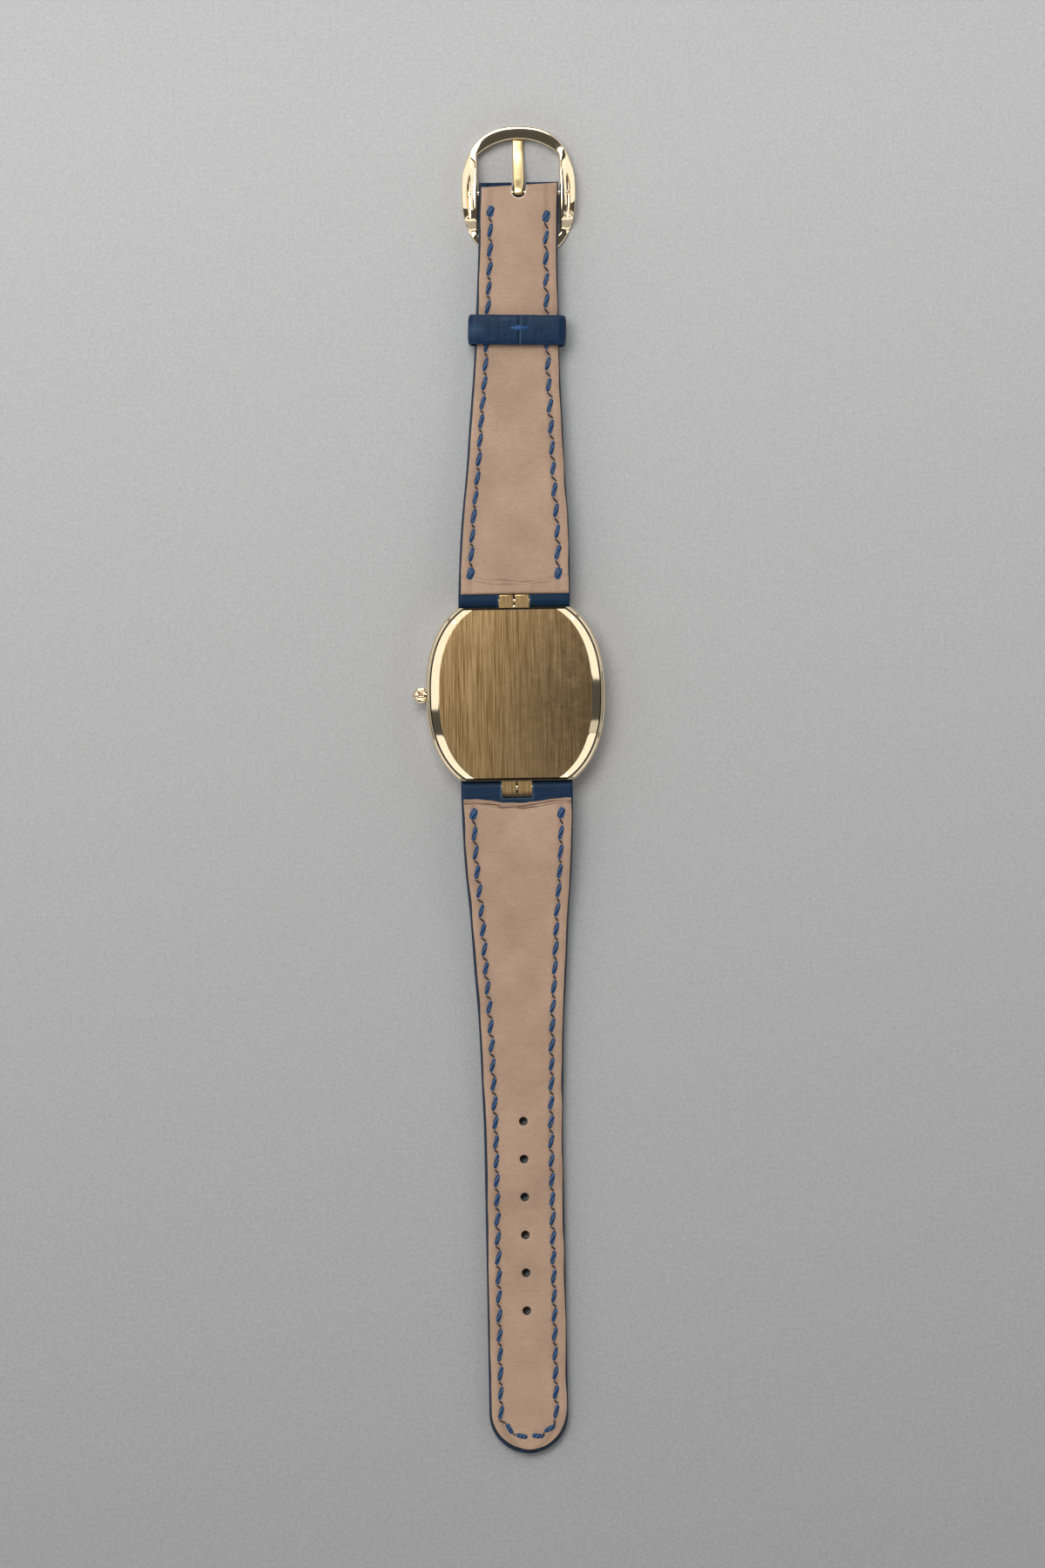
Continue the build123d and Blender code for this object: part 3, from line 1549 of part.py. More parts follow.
def make_long_thread():
    """Stitches along the long strap and round its tip."""
    stitches = stitch_columns(
        long_high, long_tip_width, long_thread_count, long_thread_first, long_thread_pitch
    )
    level = long_high[-1][1] + lining_thickness + thread_gap
    radius = long_tip_width / 2 - thread_inset
    centre = long_length - long_tip_width / 2
    for share, turn in zip(tip_thread_shares, tip_thread_turns):
        for side in (1, -1):
            angle = side * pi / 2 * (1 - share)
            x, along = radius * sin(angle), centre + radius * cos(angle)
            stitches.append(stitch(x, along, level, 0, side * turn))
    return group([place_strap(Rot(0, 0, long_lean) * piece, -1) for piece in stitches])


def make_short_thread():
    """Stitches along the short strap."""
    stitches = stitch_columns(
        short_high, short_end_width, short_thread_count, short_thread_first, short_thread_pitch
    )
    return group([place_strap(Rot(0, 0, short_lean) * piece, 1) for piece in stitches])


def make_keeper():
    """Free leather loop round the short strap, open enough for its whole travel."""
    low = short_lift - leather_gap
    near = keeper_place - keeper_travel_in - keeper_length / 2
    far = keeper_place + keeper_travel_out + keeper_length / 2
    strap_top = max(height_at(short_high, near)[0], height_at(short_high, far)[0])
    strap_top += lining_thickness + thread_gap + thread_height
    inner_height = strap_top + leather_gap - low
    outer_height = inner_height + 2 * keeper_thickness
    outer = Rectangle(keeper_width, outer_height)
    outer = fillet(outer.vertices(), keeper_round + keeper_thickness / 2)
    inner = Rectangle(keeper_width - 2 * keeper_thickness, inner_height)
    inner = fillet(inner.vertices(), keeper_round / 2)
    body = extrude(Plane.XZ * (outer - inner), keeper_length / 2, both=True)
    placed = Pos(0, keeper_place, low - keeper_thickness + outer_height / 2) * body
    return place_strap(Rot(0, 0, short_lean) * placed, 1)


# Buckle

buckle_reach = bar_reach + short_length


def make_buckle_frame():
    """Polished ring whose low part passes under the strap and whose arms hold the bar."""
    outer = oval(buckle_half_width, buckle_half_length, buckle_power)
    half = buckle_inner_width / 2
    side, end = buckle_inner_side, buckle_inner_length
    opening = [
        ThreePointArc((-half, side), (0, end), (half, side)),
        ThreePointArc((-half, -side), (0, -end), (half, -side)),
        Line((-half, -side), (-half, side)),
        Line((half, -side), (half, side)),
    ]
    ring = prism(outer - make_face(opening), 0, buckle_arm_height)
    reach = buckle_half_length
    top = [
        (-reach - overrun, buckle_low_height),
        (-buckle_slope_reach, buckle_low_height),
        (-buckle_arm_in, buckle_arm_height),
        (buckle_arm_out, buckle_arm_height),
        (reach + overrun, buckle_end_height),
    ]
    under = [(reach + overrun, buckle_end_lift), (reach / 2, 0), (-reach - overrun, 0)]
    face = Plane.YZ * make_face(Polyline(*top, *under, close=True))
    ring &= extrude(face, buckle_half_width + overrun, both=True)
    groove = tongue_width / 2 + tongue_groove_gap
    groove_top = tongue_thickness + tongue_groove_gap
    ring -= block((-groove, groove), (0, buckle_half_length + overrun), (-overrun, groove_top))
    slot = Rot(0, 0, 90) * SlotOverall(arm_slot_length, arm_slot_width)
    for side in (1, -1):
        place = side * (buckle_half_width + half) / 2
        face = Pos(place, arm_slot_shift) * slot
        cut = prism(face, buckle_arm_height - arm_slot_depth, buckle_arm_height)
        ring -= cut
    ring -= rod(buckle_bar_radius, -buckle_half_width, buckle_half_width, 0, buckle_bar_height)
    return Pos(short_end_shift, buckle_reach, 0) * ring


def make_buckle_bar():
    """Bar across the buckle's arms."""
    half = (buckle_half_width + buckle_inner_width / 2) / 2
    bar = rod(buckle_bar_radius, -half, half, buckle_reach, buckle_bar_height)
    return Pos(short_end_shift, 0, 0) * bar


def make_buckle_tongue():
    """Tongue with its eye round the bar, bent down to the frame's groove."""
    eye = buckle_bar_radius + running_fit + tongue_eye_wall
    tip = buckle_inner_length + tongue_tip_overlap
    bend = buckle_inner_length * tongue_bend_share
    outline = [
        (0, eye + buckle_bar_height - tongue_eye_wall / 2),
        (bend, tongue_thickness + tongue_groove_gap),
        (buckle_inner_length, tongue_thickness),
        (tip, tongue_thickness * tongue_tip_share),
        (tip, face_gap),
        (buckle_inner_length, face_gap),
        (bend, tongue_groove_gap),
        (0, buckle_bar_height - eye + tongue_eye_wall / 2),
    ]
    face = Plane.YZ * make_face(Polyline(*outline, close=True))
    body = extrude(face, tongue_width / 2, both=True)
    half = tongue_width / 2
    body += rod(eye, -half, half, 0, buckle_bar_height)
    body -= rod(buckle_bar_radius + running_fit, -half - overrun, half + overrun, 0, buckle_bar_height)
    return Pos(short_end_shift, buckle_reach, 0) * body


# Every piece by its name

pieces = {
    "bezel": make_bezel,
    "crystal": make_crystal,
    "crystal_gasket": make_crystal_gasket,
    "case_middle": make_case_middle,
    "case_back": make_case_back,
    "case_back_gasket": make_back_gasket,
    "crown_tube": make_crown_tube,
    "crown": make_crown,
    "winding_stem": make_winding_stem,
    "winding_pinion": make_winding_pinion,
    "sliding_pinion": make_sliding_pinion,
    "setting_lever": make_setting_lever,
    "yoke": make_yoke,
    "setting_wheel": make_setting_wheel,
    "dial": make_dial,
    "hour_markers": make_hour_markers,
    "minute_hand": make_minute_hand,
    "hour_hand": make_hour_hand,
    "cannon_pinion": make_cannon_pinion,
    "minute_wheel": make_minute_wheel,
    "hour_wheel": make_hour_wheel,
    "mainplate": make_mainplate,
    "barrel_bridge": make_barrel_bridge,
    "train_bridge": make_train_bridge,
    "balance_cock": make_balance_cock,
    "pallet_bridge": make_pallet_bridge,
    "bridge_screws": make_bridge_screws,
    "jewels": make_jewels,
    "barrel_drum": make_barrel_drum,
    "barrel_cover": make_barrel_cover,
    "barrel_arbor": make_barrel_arbor,
    "mainspring": make_mainspring,
    "ratchet_wheel": make_ratchet_wheel,
    "ratchet_screw": make_ratchet_screw,
    "crown_wheel": make_crown_wheel,
    "click": make_click,
    "click_spring": make_click_spring,
    "centre_wheel": make_centre_wheel,
    "third_wheel": make_third_wheel,
    "fourth_wheel": make_fourth_wheel,
    "escape_wheel": make_escape_wheel,
    "pallet_fork": make_pallet_fork,
    "balance_wheel": make_balance_wheel,
    "hairspring": make_hairspring,
    "movement_ring": make_movement_ring,
    "casing_clamps": make_casing_clamps,
    "casing_screws": make_casing_screws,
    "strap_bars": make_strap_bars,
    "short_strap_outer": make_short_outer,
    "short_strap_padding": make_short_padding,
    "short_strap_lining": make_short_lining,
    "short_strap_thread": make_short_thread,
    "long_strap_outer": make_long_outer,
    "long_strap_padding": make_long_padding,
    "long_strap_lining": make_long_lining,
    "long_strap_thread": make_long_thread,
    "strap_keeper": make_keeper,
    "buckle_frame": make_buckle_frame,
    "buckle_tongue": make_buckle_tongue,
    "buckle_bar": make_buckle_bar,
}

os.makedirs("parts", exist_ok=True)
for name, make in pieces.items():
    piece = make()
    export_step(piece, os.path.join("parts", name + ".step"))
    print(name, len(piece.solids()), round(piece.volume, 3))
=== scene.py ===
"""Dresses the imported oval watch, lying face down on a pale studio floor."""

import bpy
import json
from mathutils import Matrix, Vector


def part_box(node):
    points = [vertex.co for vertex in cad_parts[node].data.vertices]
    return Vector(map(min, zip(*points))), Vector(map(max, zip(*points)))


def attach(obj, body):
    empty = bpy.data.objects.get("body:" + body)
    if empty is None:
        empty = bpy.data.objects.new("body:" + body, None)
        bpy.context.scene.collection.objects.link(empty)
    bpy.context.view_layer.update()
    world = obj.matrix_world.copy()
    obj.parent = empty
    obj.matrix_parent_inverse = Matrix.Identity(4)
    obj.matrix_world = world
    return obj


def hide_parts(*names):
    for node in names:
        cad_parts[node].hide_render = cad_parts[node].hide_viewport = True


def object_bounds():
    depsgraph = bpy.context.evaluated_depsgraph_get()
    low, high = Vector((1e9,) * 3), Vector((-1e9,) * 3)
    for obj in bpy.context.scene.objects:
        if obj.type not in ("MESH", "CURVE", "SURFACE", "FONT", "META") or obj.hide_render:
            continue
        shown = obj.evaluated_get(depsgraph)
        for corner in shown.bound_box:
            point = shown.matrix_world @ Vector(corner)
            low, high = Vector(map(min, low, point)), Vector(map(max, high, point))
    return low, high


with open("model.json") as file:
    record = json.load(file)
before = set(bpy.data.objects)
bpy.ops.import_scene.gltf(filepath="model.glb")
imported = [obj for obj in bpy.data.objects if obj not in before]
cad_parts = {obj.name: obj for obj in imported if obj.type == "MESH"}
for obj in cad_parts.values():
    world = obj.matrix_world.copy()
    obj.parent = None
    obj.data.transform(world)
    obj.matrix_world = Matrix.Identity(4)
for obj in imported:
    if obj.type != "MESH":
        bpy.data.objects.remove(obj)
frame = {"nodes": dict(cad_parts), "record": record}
CAD_BOX = [list(corner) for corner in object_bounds()]

import json
import logging
import math
import random
from dataclasses import dataclass, field
from enum import Enum, IntEnum
from typing import Any, Callable, Sequence

import bmesh
import bpy
from mathutils import Matrix, Vector, noise

MM = 0.001
LOG = logging.getLogger("watch")

# Cleaning of new meshes, in millimetres, and the angle in degrees from which an edge shades sharp
MERGE_GAP = 0.0005
THIN_FACE = 0.0002
SHARP_ANGLE = 32.0

Span = tuple[float, float]
Knots = Sequence[Span]
Colour = tuple[float, float, float, float]
Face = Callable[[float, float], float]
Run = list[tuple[float, Face, Face]]
Mesh = bmesh.types.BMesh
Material = bpy.types.Material
Piece = bpy.types.Object


class End(IntEnum):
    """Which end of the case a strap half hangs on, as the sign of Y."""

    BUCKLE = 1
    TIP = -1


class Skin(IntEnum):
    """Material indices of a leather piece."""

    FACE = 0
    EDGE = 1


class Look(Enum):
    """Finish of a metal surface."""

    POLISHED = "polished"
    BRUSHED = "brushed"
    SATIN = "satin"


# Colours and curves

def linear(code: str) -> Colour:
    """Turn an sRGB hex code into linear RGBA.

    Args:
        code: Colour such as "#b2b2b2".

    Returns:
        Linear red, green and blue with an alpha of 1.
    """
    channels = [int(code[index:index + 2], 16) / 255 for index in (1, 3, 5)]
    low, gain, offset, power = 0.04045, 12.92, 0.055, 2.4
    values = [c / gain if c <= low else ((c + offset) / (1 + offset)) ** power for c in channels]
    return (values[0], values[1], values[2], 1.0)


def curve_value(knots: Knots, x: float) -> float:
    """Read a smooth curve through knots, flat at both of its ends.

    Args:
        knots: Places and values, in rising order of place.
        x: Place to read, held at the ends.

    Returns:
        Value of the curve at x.
    """
    if x <= knots[0][0]:
        return knots[0][1]
    if x >= knots[-1][0]:
        return knots[-1][1]
    index = max(i for i, knot in enumerate(knots) if knot[0] <= x)
    slopes = []
    for i in (index, index + 1):
        if 0 < i < len(knots) - 1:
            slopes.append((knots[i + 1][1] - knots[i - 1][1]) / (knots[i + 1][0] - knots[i - 1][0]))
        else:
            slopes.append(0.0)
    (x0, y0), (x1, y1) = knots[index], knots[index + 1]
    span = x1 - x0
    t = (x - x0) / span
    rise = y0 * (1 + 2 * t) * (1 - t) ** 2 + y1 * t * t * (3 - 2 * t)
    return rise + span * (slopes[0] * t * (1 - t) ** 2 - slopes[1] * t * t * (1 - t))


def ease(x: float, low: float, high: float) -> float:
    """Rise smoothly from 0 at low to 1 at high."""
    t = min(1.0, max(0.0, (x - low) / (high - low)))
    return t * t * (3 - 2 * t)


def blunt(x: float, power: float) -> float:
    """Raise a signed share to a power and keep its sign."""
    return math.copysign(abs(x) ** power, x)


def spread(low: float, high: float, steps: int) -> list[float]:
    """List evenly spaced values from low to high, both included."""
    return [low + (high - low) * step / steps for step in range(steps + 1)]


@dataclass(frozen=True)
class Hump:
    """Smooth bump of a height that fades over a width on both sides."""

    height: float
    width: float

    def at(self, x: float) -> float:
        """Give the height at a distance from the middle."""
        return self.height * math.exp(-(x / self.width) ** 2)


@dataclass(frozen=True)
class Ripple:
    """Smooth unevenness of a height, in features of a width and a length. The seed chooses its pattern."""

    height: float
    seed: float
    across: float
    along: float

    def at(self, x: float, y: float, turn: float = 0.0) -> float:
        """Give the rise at a place across and along, with a number added to the seed."""
        return self.height * noise.noise(Vector((x / self.across, y / self.along, self.seed + turn)))


# Mesh tools

def loft(bm: Mesh, loops: Sequence[Sequence[Vector]], ring: bool = False) -> None:
    """Extrude a first closed loop through the others and close the shape.

    Args:
        bm: Mesh that receives the shape.
        loops: Closed loops with as many points each, in the order of the extrusion.
        ring: Whether the last loop joins the first, instead of both being filled.
    """
    station = bm.verts.layers.int.get("station") or bm.verts.layers.int.new("station")
    count = len(loops[0])
    verts = bmesh.ops.create_circle(bm, cap_ends=False, segments=count, radius=1.0)["verts"]
    for index, vert in enumerate(verts):
        vert[station] = index
        vert.co = loops[0][index]
    first = list(dict.fromkeys(edge for vert in verts for edge in vert.link_edges))
    edges = first
    for points in loops[1:]:
        made = bmesh.ops.extrude_edge_only(bm, edges=edges)["geom"]
        fresh = [part for part in made if isinstance(part, bmesh.types.BMVert)]
        for vert in fresh:
            vert.co = points[vert[station]]
        inside = set(fresh)
        edges = [part for part in made if isinstance(part, bmesh.types.BMEdge) and set(part.verts) <= inside]
    if ring:
        bmesh.ops.bridge_loops(bm, edges=first + edges)
    else:
        bmesh.ops.edgeloop_fill(bm, edges=first)
        bmesh.ops.edgeloop_fill(bm, edges=edges)


def mark_sharp(bm: Mesh, sharp: float) -> None:
    """Shade every edge sharp whose faces meet at more than an angle in degrees."""
    for edge in bm.edges:
        edge.smooth = edge.calc_face_angle(0.0) < math.radians(sharp)


def finish_mesh(
    bm: Mesh, name: str, materials: Sequence[Material], sharp: float = SHARP_ANGLE
) -> Piece:
    """Clean a mesh drawn in millimetres and make it an object in metres.

    Args:
        bm: Mesh to finish, which is freed.
        name: Name of the new object.
        materials: Materials by their index on the faces.
        sharp: Angle between faces, in degrees, from which an edge shades sharp.

    Returns:
        The object, at the origin.
    """
    bmesh.ops.remove_doubles(bm, verts=bm.verts, dist=MERGE_GAP)
    bmesh.ops.dissolve_degenerate(bm, dist=THIN_FACE, edges=bm.edges)
    bmesh.ops.recalc_face_normals(bm, faces=bm.faces)
    if bm.calc_volume(signed=True) < 0:
        bmesh.ops.reverse_faces(bm, faces=bm.faces)
    for face in bm.faces:
        face.smooth = True
    mark_sharp(bm, sharp)
    bmesh.ops.scale(bm, vec=(MM, MM, MM), verts=bm.verts)
    mesh = bpy.data.meshes.new(name)
    bm.to_mesh(mesh)
    bm.free()
    for material in materials:
        mesh.materials.append(material)
    piece = bpy.data.objects.new(name, mesh)
    bpy.context.scene.collection.objects.link(piece)
    return piece


def carve(piece: Piece, cutter: Mesh) -> None:
    """Cut the shape of a second mesh, drawn in millimetres, out of a piece.

    Args:
        piece: Piece to cut, whose mesh is replaced.
        cutter: Mesh of the cutter, which is freed.
    """
    tool = finish_mesh(cutter, "cutter", list(piece.data.materials))
    change = piece.modifiers.new("cut", "BOOLEAN")
    change.operation, change.solver, change.object = "DIFFERENCE", "EXACT", tool
    view = bpy.context.evaluated_depsgraph_get()
    mesh = bpy.data.meshes.new_from_object(piece.evaluated_get(view))
    piece.modifiers.clear()
    piece.data = mesh
    bpy.data.objects.remove(tool)
    bm = bmesh.new()
    bm.from_mesh(mesh)
    mark_sharp(bm, SHARP_ANGLE)
    bm.to_mesh(mesh)
    bm.free()


def round_bar(bm: Mesh, radius: float, start: Vector, end: Vector, sides: int = 48) -> None:
    """Add a capped cylinder between two points.

    Args:
        bm: Mesh that receives it.
        radius: Radius of the cylinder.
        start: Middle of its first end.
        end: Middle of its second end.
        sides: Number of its sides.
    """
    axis = end - start
    turn = Vector((0, 0, 1)).rotation_difference(axis).to_matrix().to_4x4()
    place = Matrix.Translation((start + end) / 2) @ turn
    bmesh.ops.create_cone(
        bm, cap_ends=True, segments=sides, radius1=radius, radius2=radius, depth=axis.length, matrix=place
    )


def install(piece: Piece, body: str, slot: str, *nodes: str) -> None:
    """Attach a piece to the empty of the body that carries it, hide the CAD nodes that it stands for and log
    its faces.

    Args:
        piece: Finished piece.
        body: CAD body that carries it.
        slot: Material slot of the record; not used.
        nodes: CAD nodes that it replaces, if any.
    """
    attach(piece, body)
    if nodes:
        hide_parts(*nodes)
    LOG.info("%s: %d faces on %s", piece.name, len(piece.data.polygons), body)


# Materials

def per_mm(size: float) -> float:
    """Give the frequency, per metre, of a pattern whose feature is size millimetres."""
    return 1 / (size * MM)


def scale_of(x: float, y: float, z: float) -> tuple[float, float, float]:
    """Give the mapping scale of a pattern whose features are x, y and z millimetres long."""
    return per_mm(x), per_mm(y), per_mm(z)


def between(stops: Span, dark: str, light: str) -> dict[str, Any]:
    """Give the settings of a ramp that runs from a dark to a light colour between two stops."""
    return {"stops": ((stops[0], dark), (stops[1], light))}


def add(
    tree: bpy.types.NodeTree,
    kind: str,
    settings: dict[Any, Any] | None = None,
    links: dict[Any, Any] | None = None,
) -> bpy.types.Node:
    """Add a node, set its options and socket values, and link its inputs.

    Args:
        tree: Node tree of the material.
        kind: Node type, without the ShaderNode prefix.
        settings: Attributes or inputs, by name or number, with their values. A ramp takes its two
            stops, each a place and a colour, as "stops".
        links: Inputs, by name or number, with the node or output socket that feeds each.

    Returns:
        The new node.
    """
    node = tree.nodes.new("ShaderNode" + kind)
    for key, value in (settings or {}).items():
        if key == "stops":
            elements = node.color_ramp.elements
            for element, (place, code) in zip((elements[0], elements[1]), value):
                element.position, element.color = place, linear(code)
        elif isinstance(key, int) or key in node.inputs:
            node.inputs[key].default_value = value
        else:
            setattr(node, key, value)
    for key, source in (links or {}).items():
        socket = source if isinstance(source, bpy.types.NodeSocket) else source.outputs[0]
        tree.links.new(socket, node.inputs[key])
    return node


def start_material(name: str) -> tuple[Material, bpy.types.NodeTree, bpy.types.NodeSocket]:
    """Make a material without nodes.

    Args:
        name: Name of the material.

    Returns:
        The material, its empty tree and its object coordinates.
    """
    material = bpy.data.materials.new(name)
    material.use_nodes = True
    tree = material.node_tree
    tree.nodes.clear()
    return material, tree, add(tree, "TexCoord").outputs["Object"]


def close_material(tree: bpy.types.NodeTree, settings: dict[str, Any], links: dict[str, Any]) -> None:
    """Add the shader, with the values and links of its inputs, and the output."""
    shader = add(tree, "BsdfPrincipled", settings, links)
    add(tree, "OutputMaterial", {}, {"Surface": shader})


# Depth of a metal finish's lines, in millimetres
LINE_DEPTHS = {Look.POLISHED: 0.0002, Look.BRUSHED: 0.004, Look.SATIN: 0.0015}


@dataclass(frozen=True)
class Metal:
    """Solid metal, polished, brushed along Y or satin all round.

    Polishing leaves hairlines that only show as a faint haze, and brushing leaves lines that dull it.
    Real lines are a few hundredths of a millimetre wide, and are drawn as coarse as they need to show.
    Lengths are in millimetres.
    """

    name: str
    light: str
    dark: str
    look: Look = Look.POLISHED
    roughness: float = 0.08
    line: float = 0.09
    line_run: float = 9.0
    cloud: float = 6.0
    tone_stops: Span = (0.38, 0.62)
    gloss_shares: Span = (0.8, 1.3)

    def make(self) -> Material:
        """Build the material.

        Returns:
            Metal with a slightly uneven colour, gloss and surface.
        """
        material, tree, place = start_material(self.name)
        run = self.line_run if self.look is Look.BRUSHED else self.line
        fine = add(tree, "Mapping", {"Scale": scale_of(self.line, run, run)}, {"Vector": place})
        lines = add(tree, "TexNoise", {"Scale": 1.0, "Detail": 3.0}, {"Vector": fine})
        broad = add(tree, "TexNoise", {"Scale": per_mm(self.cloud), "Detail": 2.0}, {"Vector": place})
        tone = add(tree, "ValToRGB", between(self.tone_stops, self.dark, self.light), {"Fac": lines})
        low, high = (self.roughness * share for share in self.gloss_shares)
        gloss = add(tree, "MapRange", {"To Min": low, "To Max": high}, {"Value": broad})
        bump = add(tree, "Bump", {"Distance": LINE_DEPTHS[self.look] * MM}, {"Height": lines})
        close_material(tree, {"Metallic": 1.0}, {"Base Color": tone, "Roughness": gloss, "Normal": bump})
        return material


@dataclass(frozen=True)
class BrushedBack:
    """Solid gold brushed along the strap and darkened by handling towards one side.

    The lines smear each highlight across them, so the plate looks matt brown-gold from above. Real
    lines are about 0.03 mm wide, and are drawn as coarse as they need to show. Lengths are in millimetres.
    """

    name: str = "gold_brushed_handled"
    light: str = "#e2bf8b"
    dark: str = "#93713f"
    smudge: str = "#6c5a44"
    line: float = 0.14
    line_run: float = 9.0
    line_depth: float = 0.006
    tone_stops: Span = (0.37, 0.62)
    band_scale: float = 0.17
    band_share: float = 0.06
    print_size: float = 1.7
    smudge_middle: Span = (12.0, -1.5)
    smudge_reach: float = 22.0
    smudge_stretch: float = 0.6

    def make(self) -> Material:
        """Build the material.

        Returns:
            Gold with brushing lines, broad tone changes and finger marks.
        """
        material, tree, place = start_material(self.name)
        scale = scale_of(self.line, self.line_run, self.line_run)
        fine = add(tree, "Mapping", {"Scale": scale}, {"Vector": place})
        lines = add(tree, "TexNoise", {"Scale": 1.0, "Detail": 3.0, "Roughness": 0.7}, {"Vector": fine})
        bands = add(tree, "TexNoise", {"Scale": self.band_scale, "Detail": 3.0}, {"Vector": fine})
        both = add(tree, "Mix", {"Factor": self.band_share}, {"A": lines, "B": bands})
        tone = add(tree, "ValToRGB", between(self.tone_stops, self.dark, self.light), {"Fac": both})
        marks = {"Scale": per_mm(self.print_size), "Detail": 6.0, "Roughness": 0.62}
        prints = add(tree, "TexNoise", marks, {"Vector": place})
        unit = 1 / (self.smudge_reach * MM)
        middle_x, middle_y = (-part / self.smudge_reach for part in self.smudge_middle)
        centring = {
            "Scale": (unit, unit * self.smudge_stretch, 0.0),
            "Location": (middle_x, middle_y * self.smudge_stretch, 0.0),
        }
        centred = add(tree, "Mapping", centring, {"Vector": place})
        distance = add(tree, "VectorMath", {"operation": "LENGTH"}, {0: centred}).outputs["Value"]
        near = add(tree, "MapRange", {"From Min": 0.1, "To Min": 1.0, "To Max": 0.0}, {"Value": distance})
        where = add(tree, "Math", {"operation": "MULTIPLY"}, {0: prints, 1: near})
        amount = add(tree, "MapRange", {"From Min": 0.06, "From Max": 0.55, "To Max": 0.78}, {"Value": where})
        soiled = add(tree, "MixRGB", {"Color2": linear(self.smudge)}, {"Fac": amount, "Color1": tone})
        gloss = add(tree, "MapRange", {"To Min": 0.26, "To Max": 0.4}, {"Value": prints})
        across = add(tree, "CombineXYZ", {"X": 1.0})
        turning = {"vector_type": "VECTOR", "convert_from": "OBJECT", "convert_to": "WORLD"}
        tangent = add(tree, "VectorTransform", turning, {"Vector": across})
        bump = add(tree, "Bump", {"Distance": self.line_depth * MM}, {"Height": lines})
        close_material(
            tree, {"Metallic": 1.0, "Anisotropic": 0.7},
            {"Base Color": soiled, "Roughness": gloss, "Tangent": tangent, "Normal": bump},
        )
        return material


@dataclass(frozen=True)
class CalfLining:
    """Smooth tanned calf, rolled to a fine grain: matt, tan and clouded, with painted shade in its creases
    and pores.

    Real pores are about 0.1 mm wide, and are drawn as coarse as they need to show. Lengths are in mm.
    """

    name: str = "calf_lining_tan"
    light: str = "#b1937c"
    dark: str = "#a1856f"
    # Colour of the painted shade in creases and pores, along the stitch rows and under the lip
    crease: str = "#5d4433"
    rubbed: str = "#dcc9b8"
    pore: float = 0.42
    pore_stretch: float = 1.7
    pore_depth: float = 0.16
    cloud: float = 7.0
    tone_stops: Span = (0.32, 0.68)
    pit_span: Span = (0.35, 0.55)
    pit_shade: float = 0.12

    def make(self) -> Material:
        """Build the material.

        Returns:
            Tan leather that reads painted shade in creases and pale rims from the piece's shade attribute.
        """
        material, tree, place = start_material(self.name)
        scale = scale_of(self.pore * self.pore_stretch, self.pore, self.pore)
        fine = add(tree, "Mapping", {"Scale": scale}, {"Vector": place})
        crumple = {"Scale": 1.0, "Detail": 5.0, "Roughness": 0.6, "Distortion": 0.6}
        grain = add(tree, "TexNoise", crumple, {"Vector": fine})
        clouds = add(tree, "TexNoise", {"Scale": per_mm(self.cloud), "Detail": 4.0}, {"Vector": place})
        tone = add(tree, "ValToRGB", between(self.tone_stops, self.dark, self.light), {"Fac": clouds})
        shade = add(tree, "Attribute", {"attribute_name": "shade"}).outputs["Fac"]
        # Pores of the grain are darkened with painted shade
        low, high = self.pit_span
        sinking = {"From Min": low, "From Max": high, "To Min": self.pit_shade, "To Max": 0.0}
        pits = add(tree, "MapRange", sinking, {"Value": grain})
        amount = add(tree, "Math", {"operation": "ADD", "use_clamp": True}, {0: shade, 1: pits})
        with_painted_shade = add(tree, "MixRGB", {"Color2": linear(self.crease)}, {"Fac": amount, "Color1": tone})
        rim = add(tree, "Math", {"operation": "MULTIPLY", 1: -1.0, "use_clamp": True}, {0: shade})
        worn = add(tree, "MixRGB", {"Color2": linear(self.rubbed)}, {"Fac": rim, "Color1": with_painted_shade})
        bump = add(tree, "Bump", {"Strength": 0.8, "Distance": self.pore_depth * MM}, {"Height": grain})
        close_material(
            tree, {"Roughness": 0.6, "Specular IOR Level": 0.35}, {"Base Color": worn, "Normal": bump}
        )
        return material


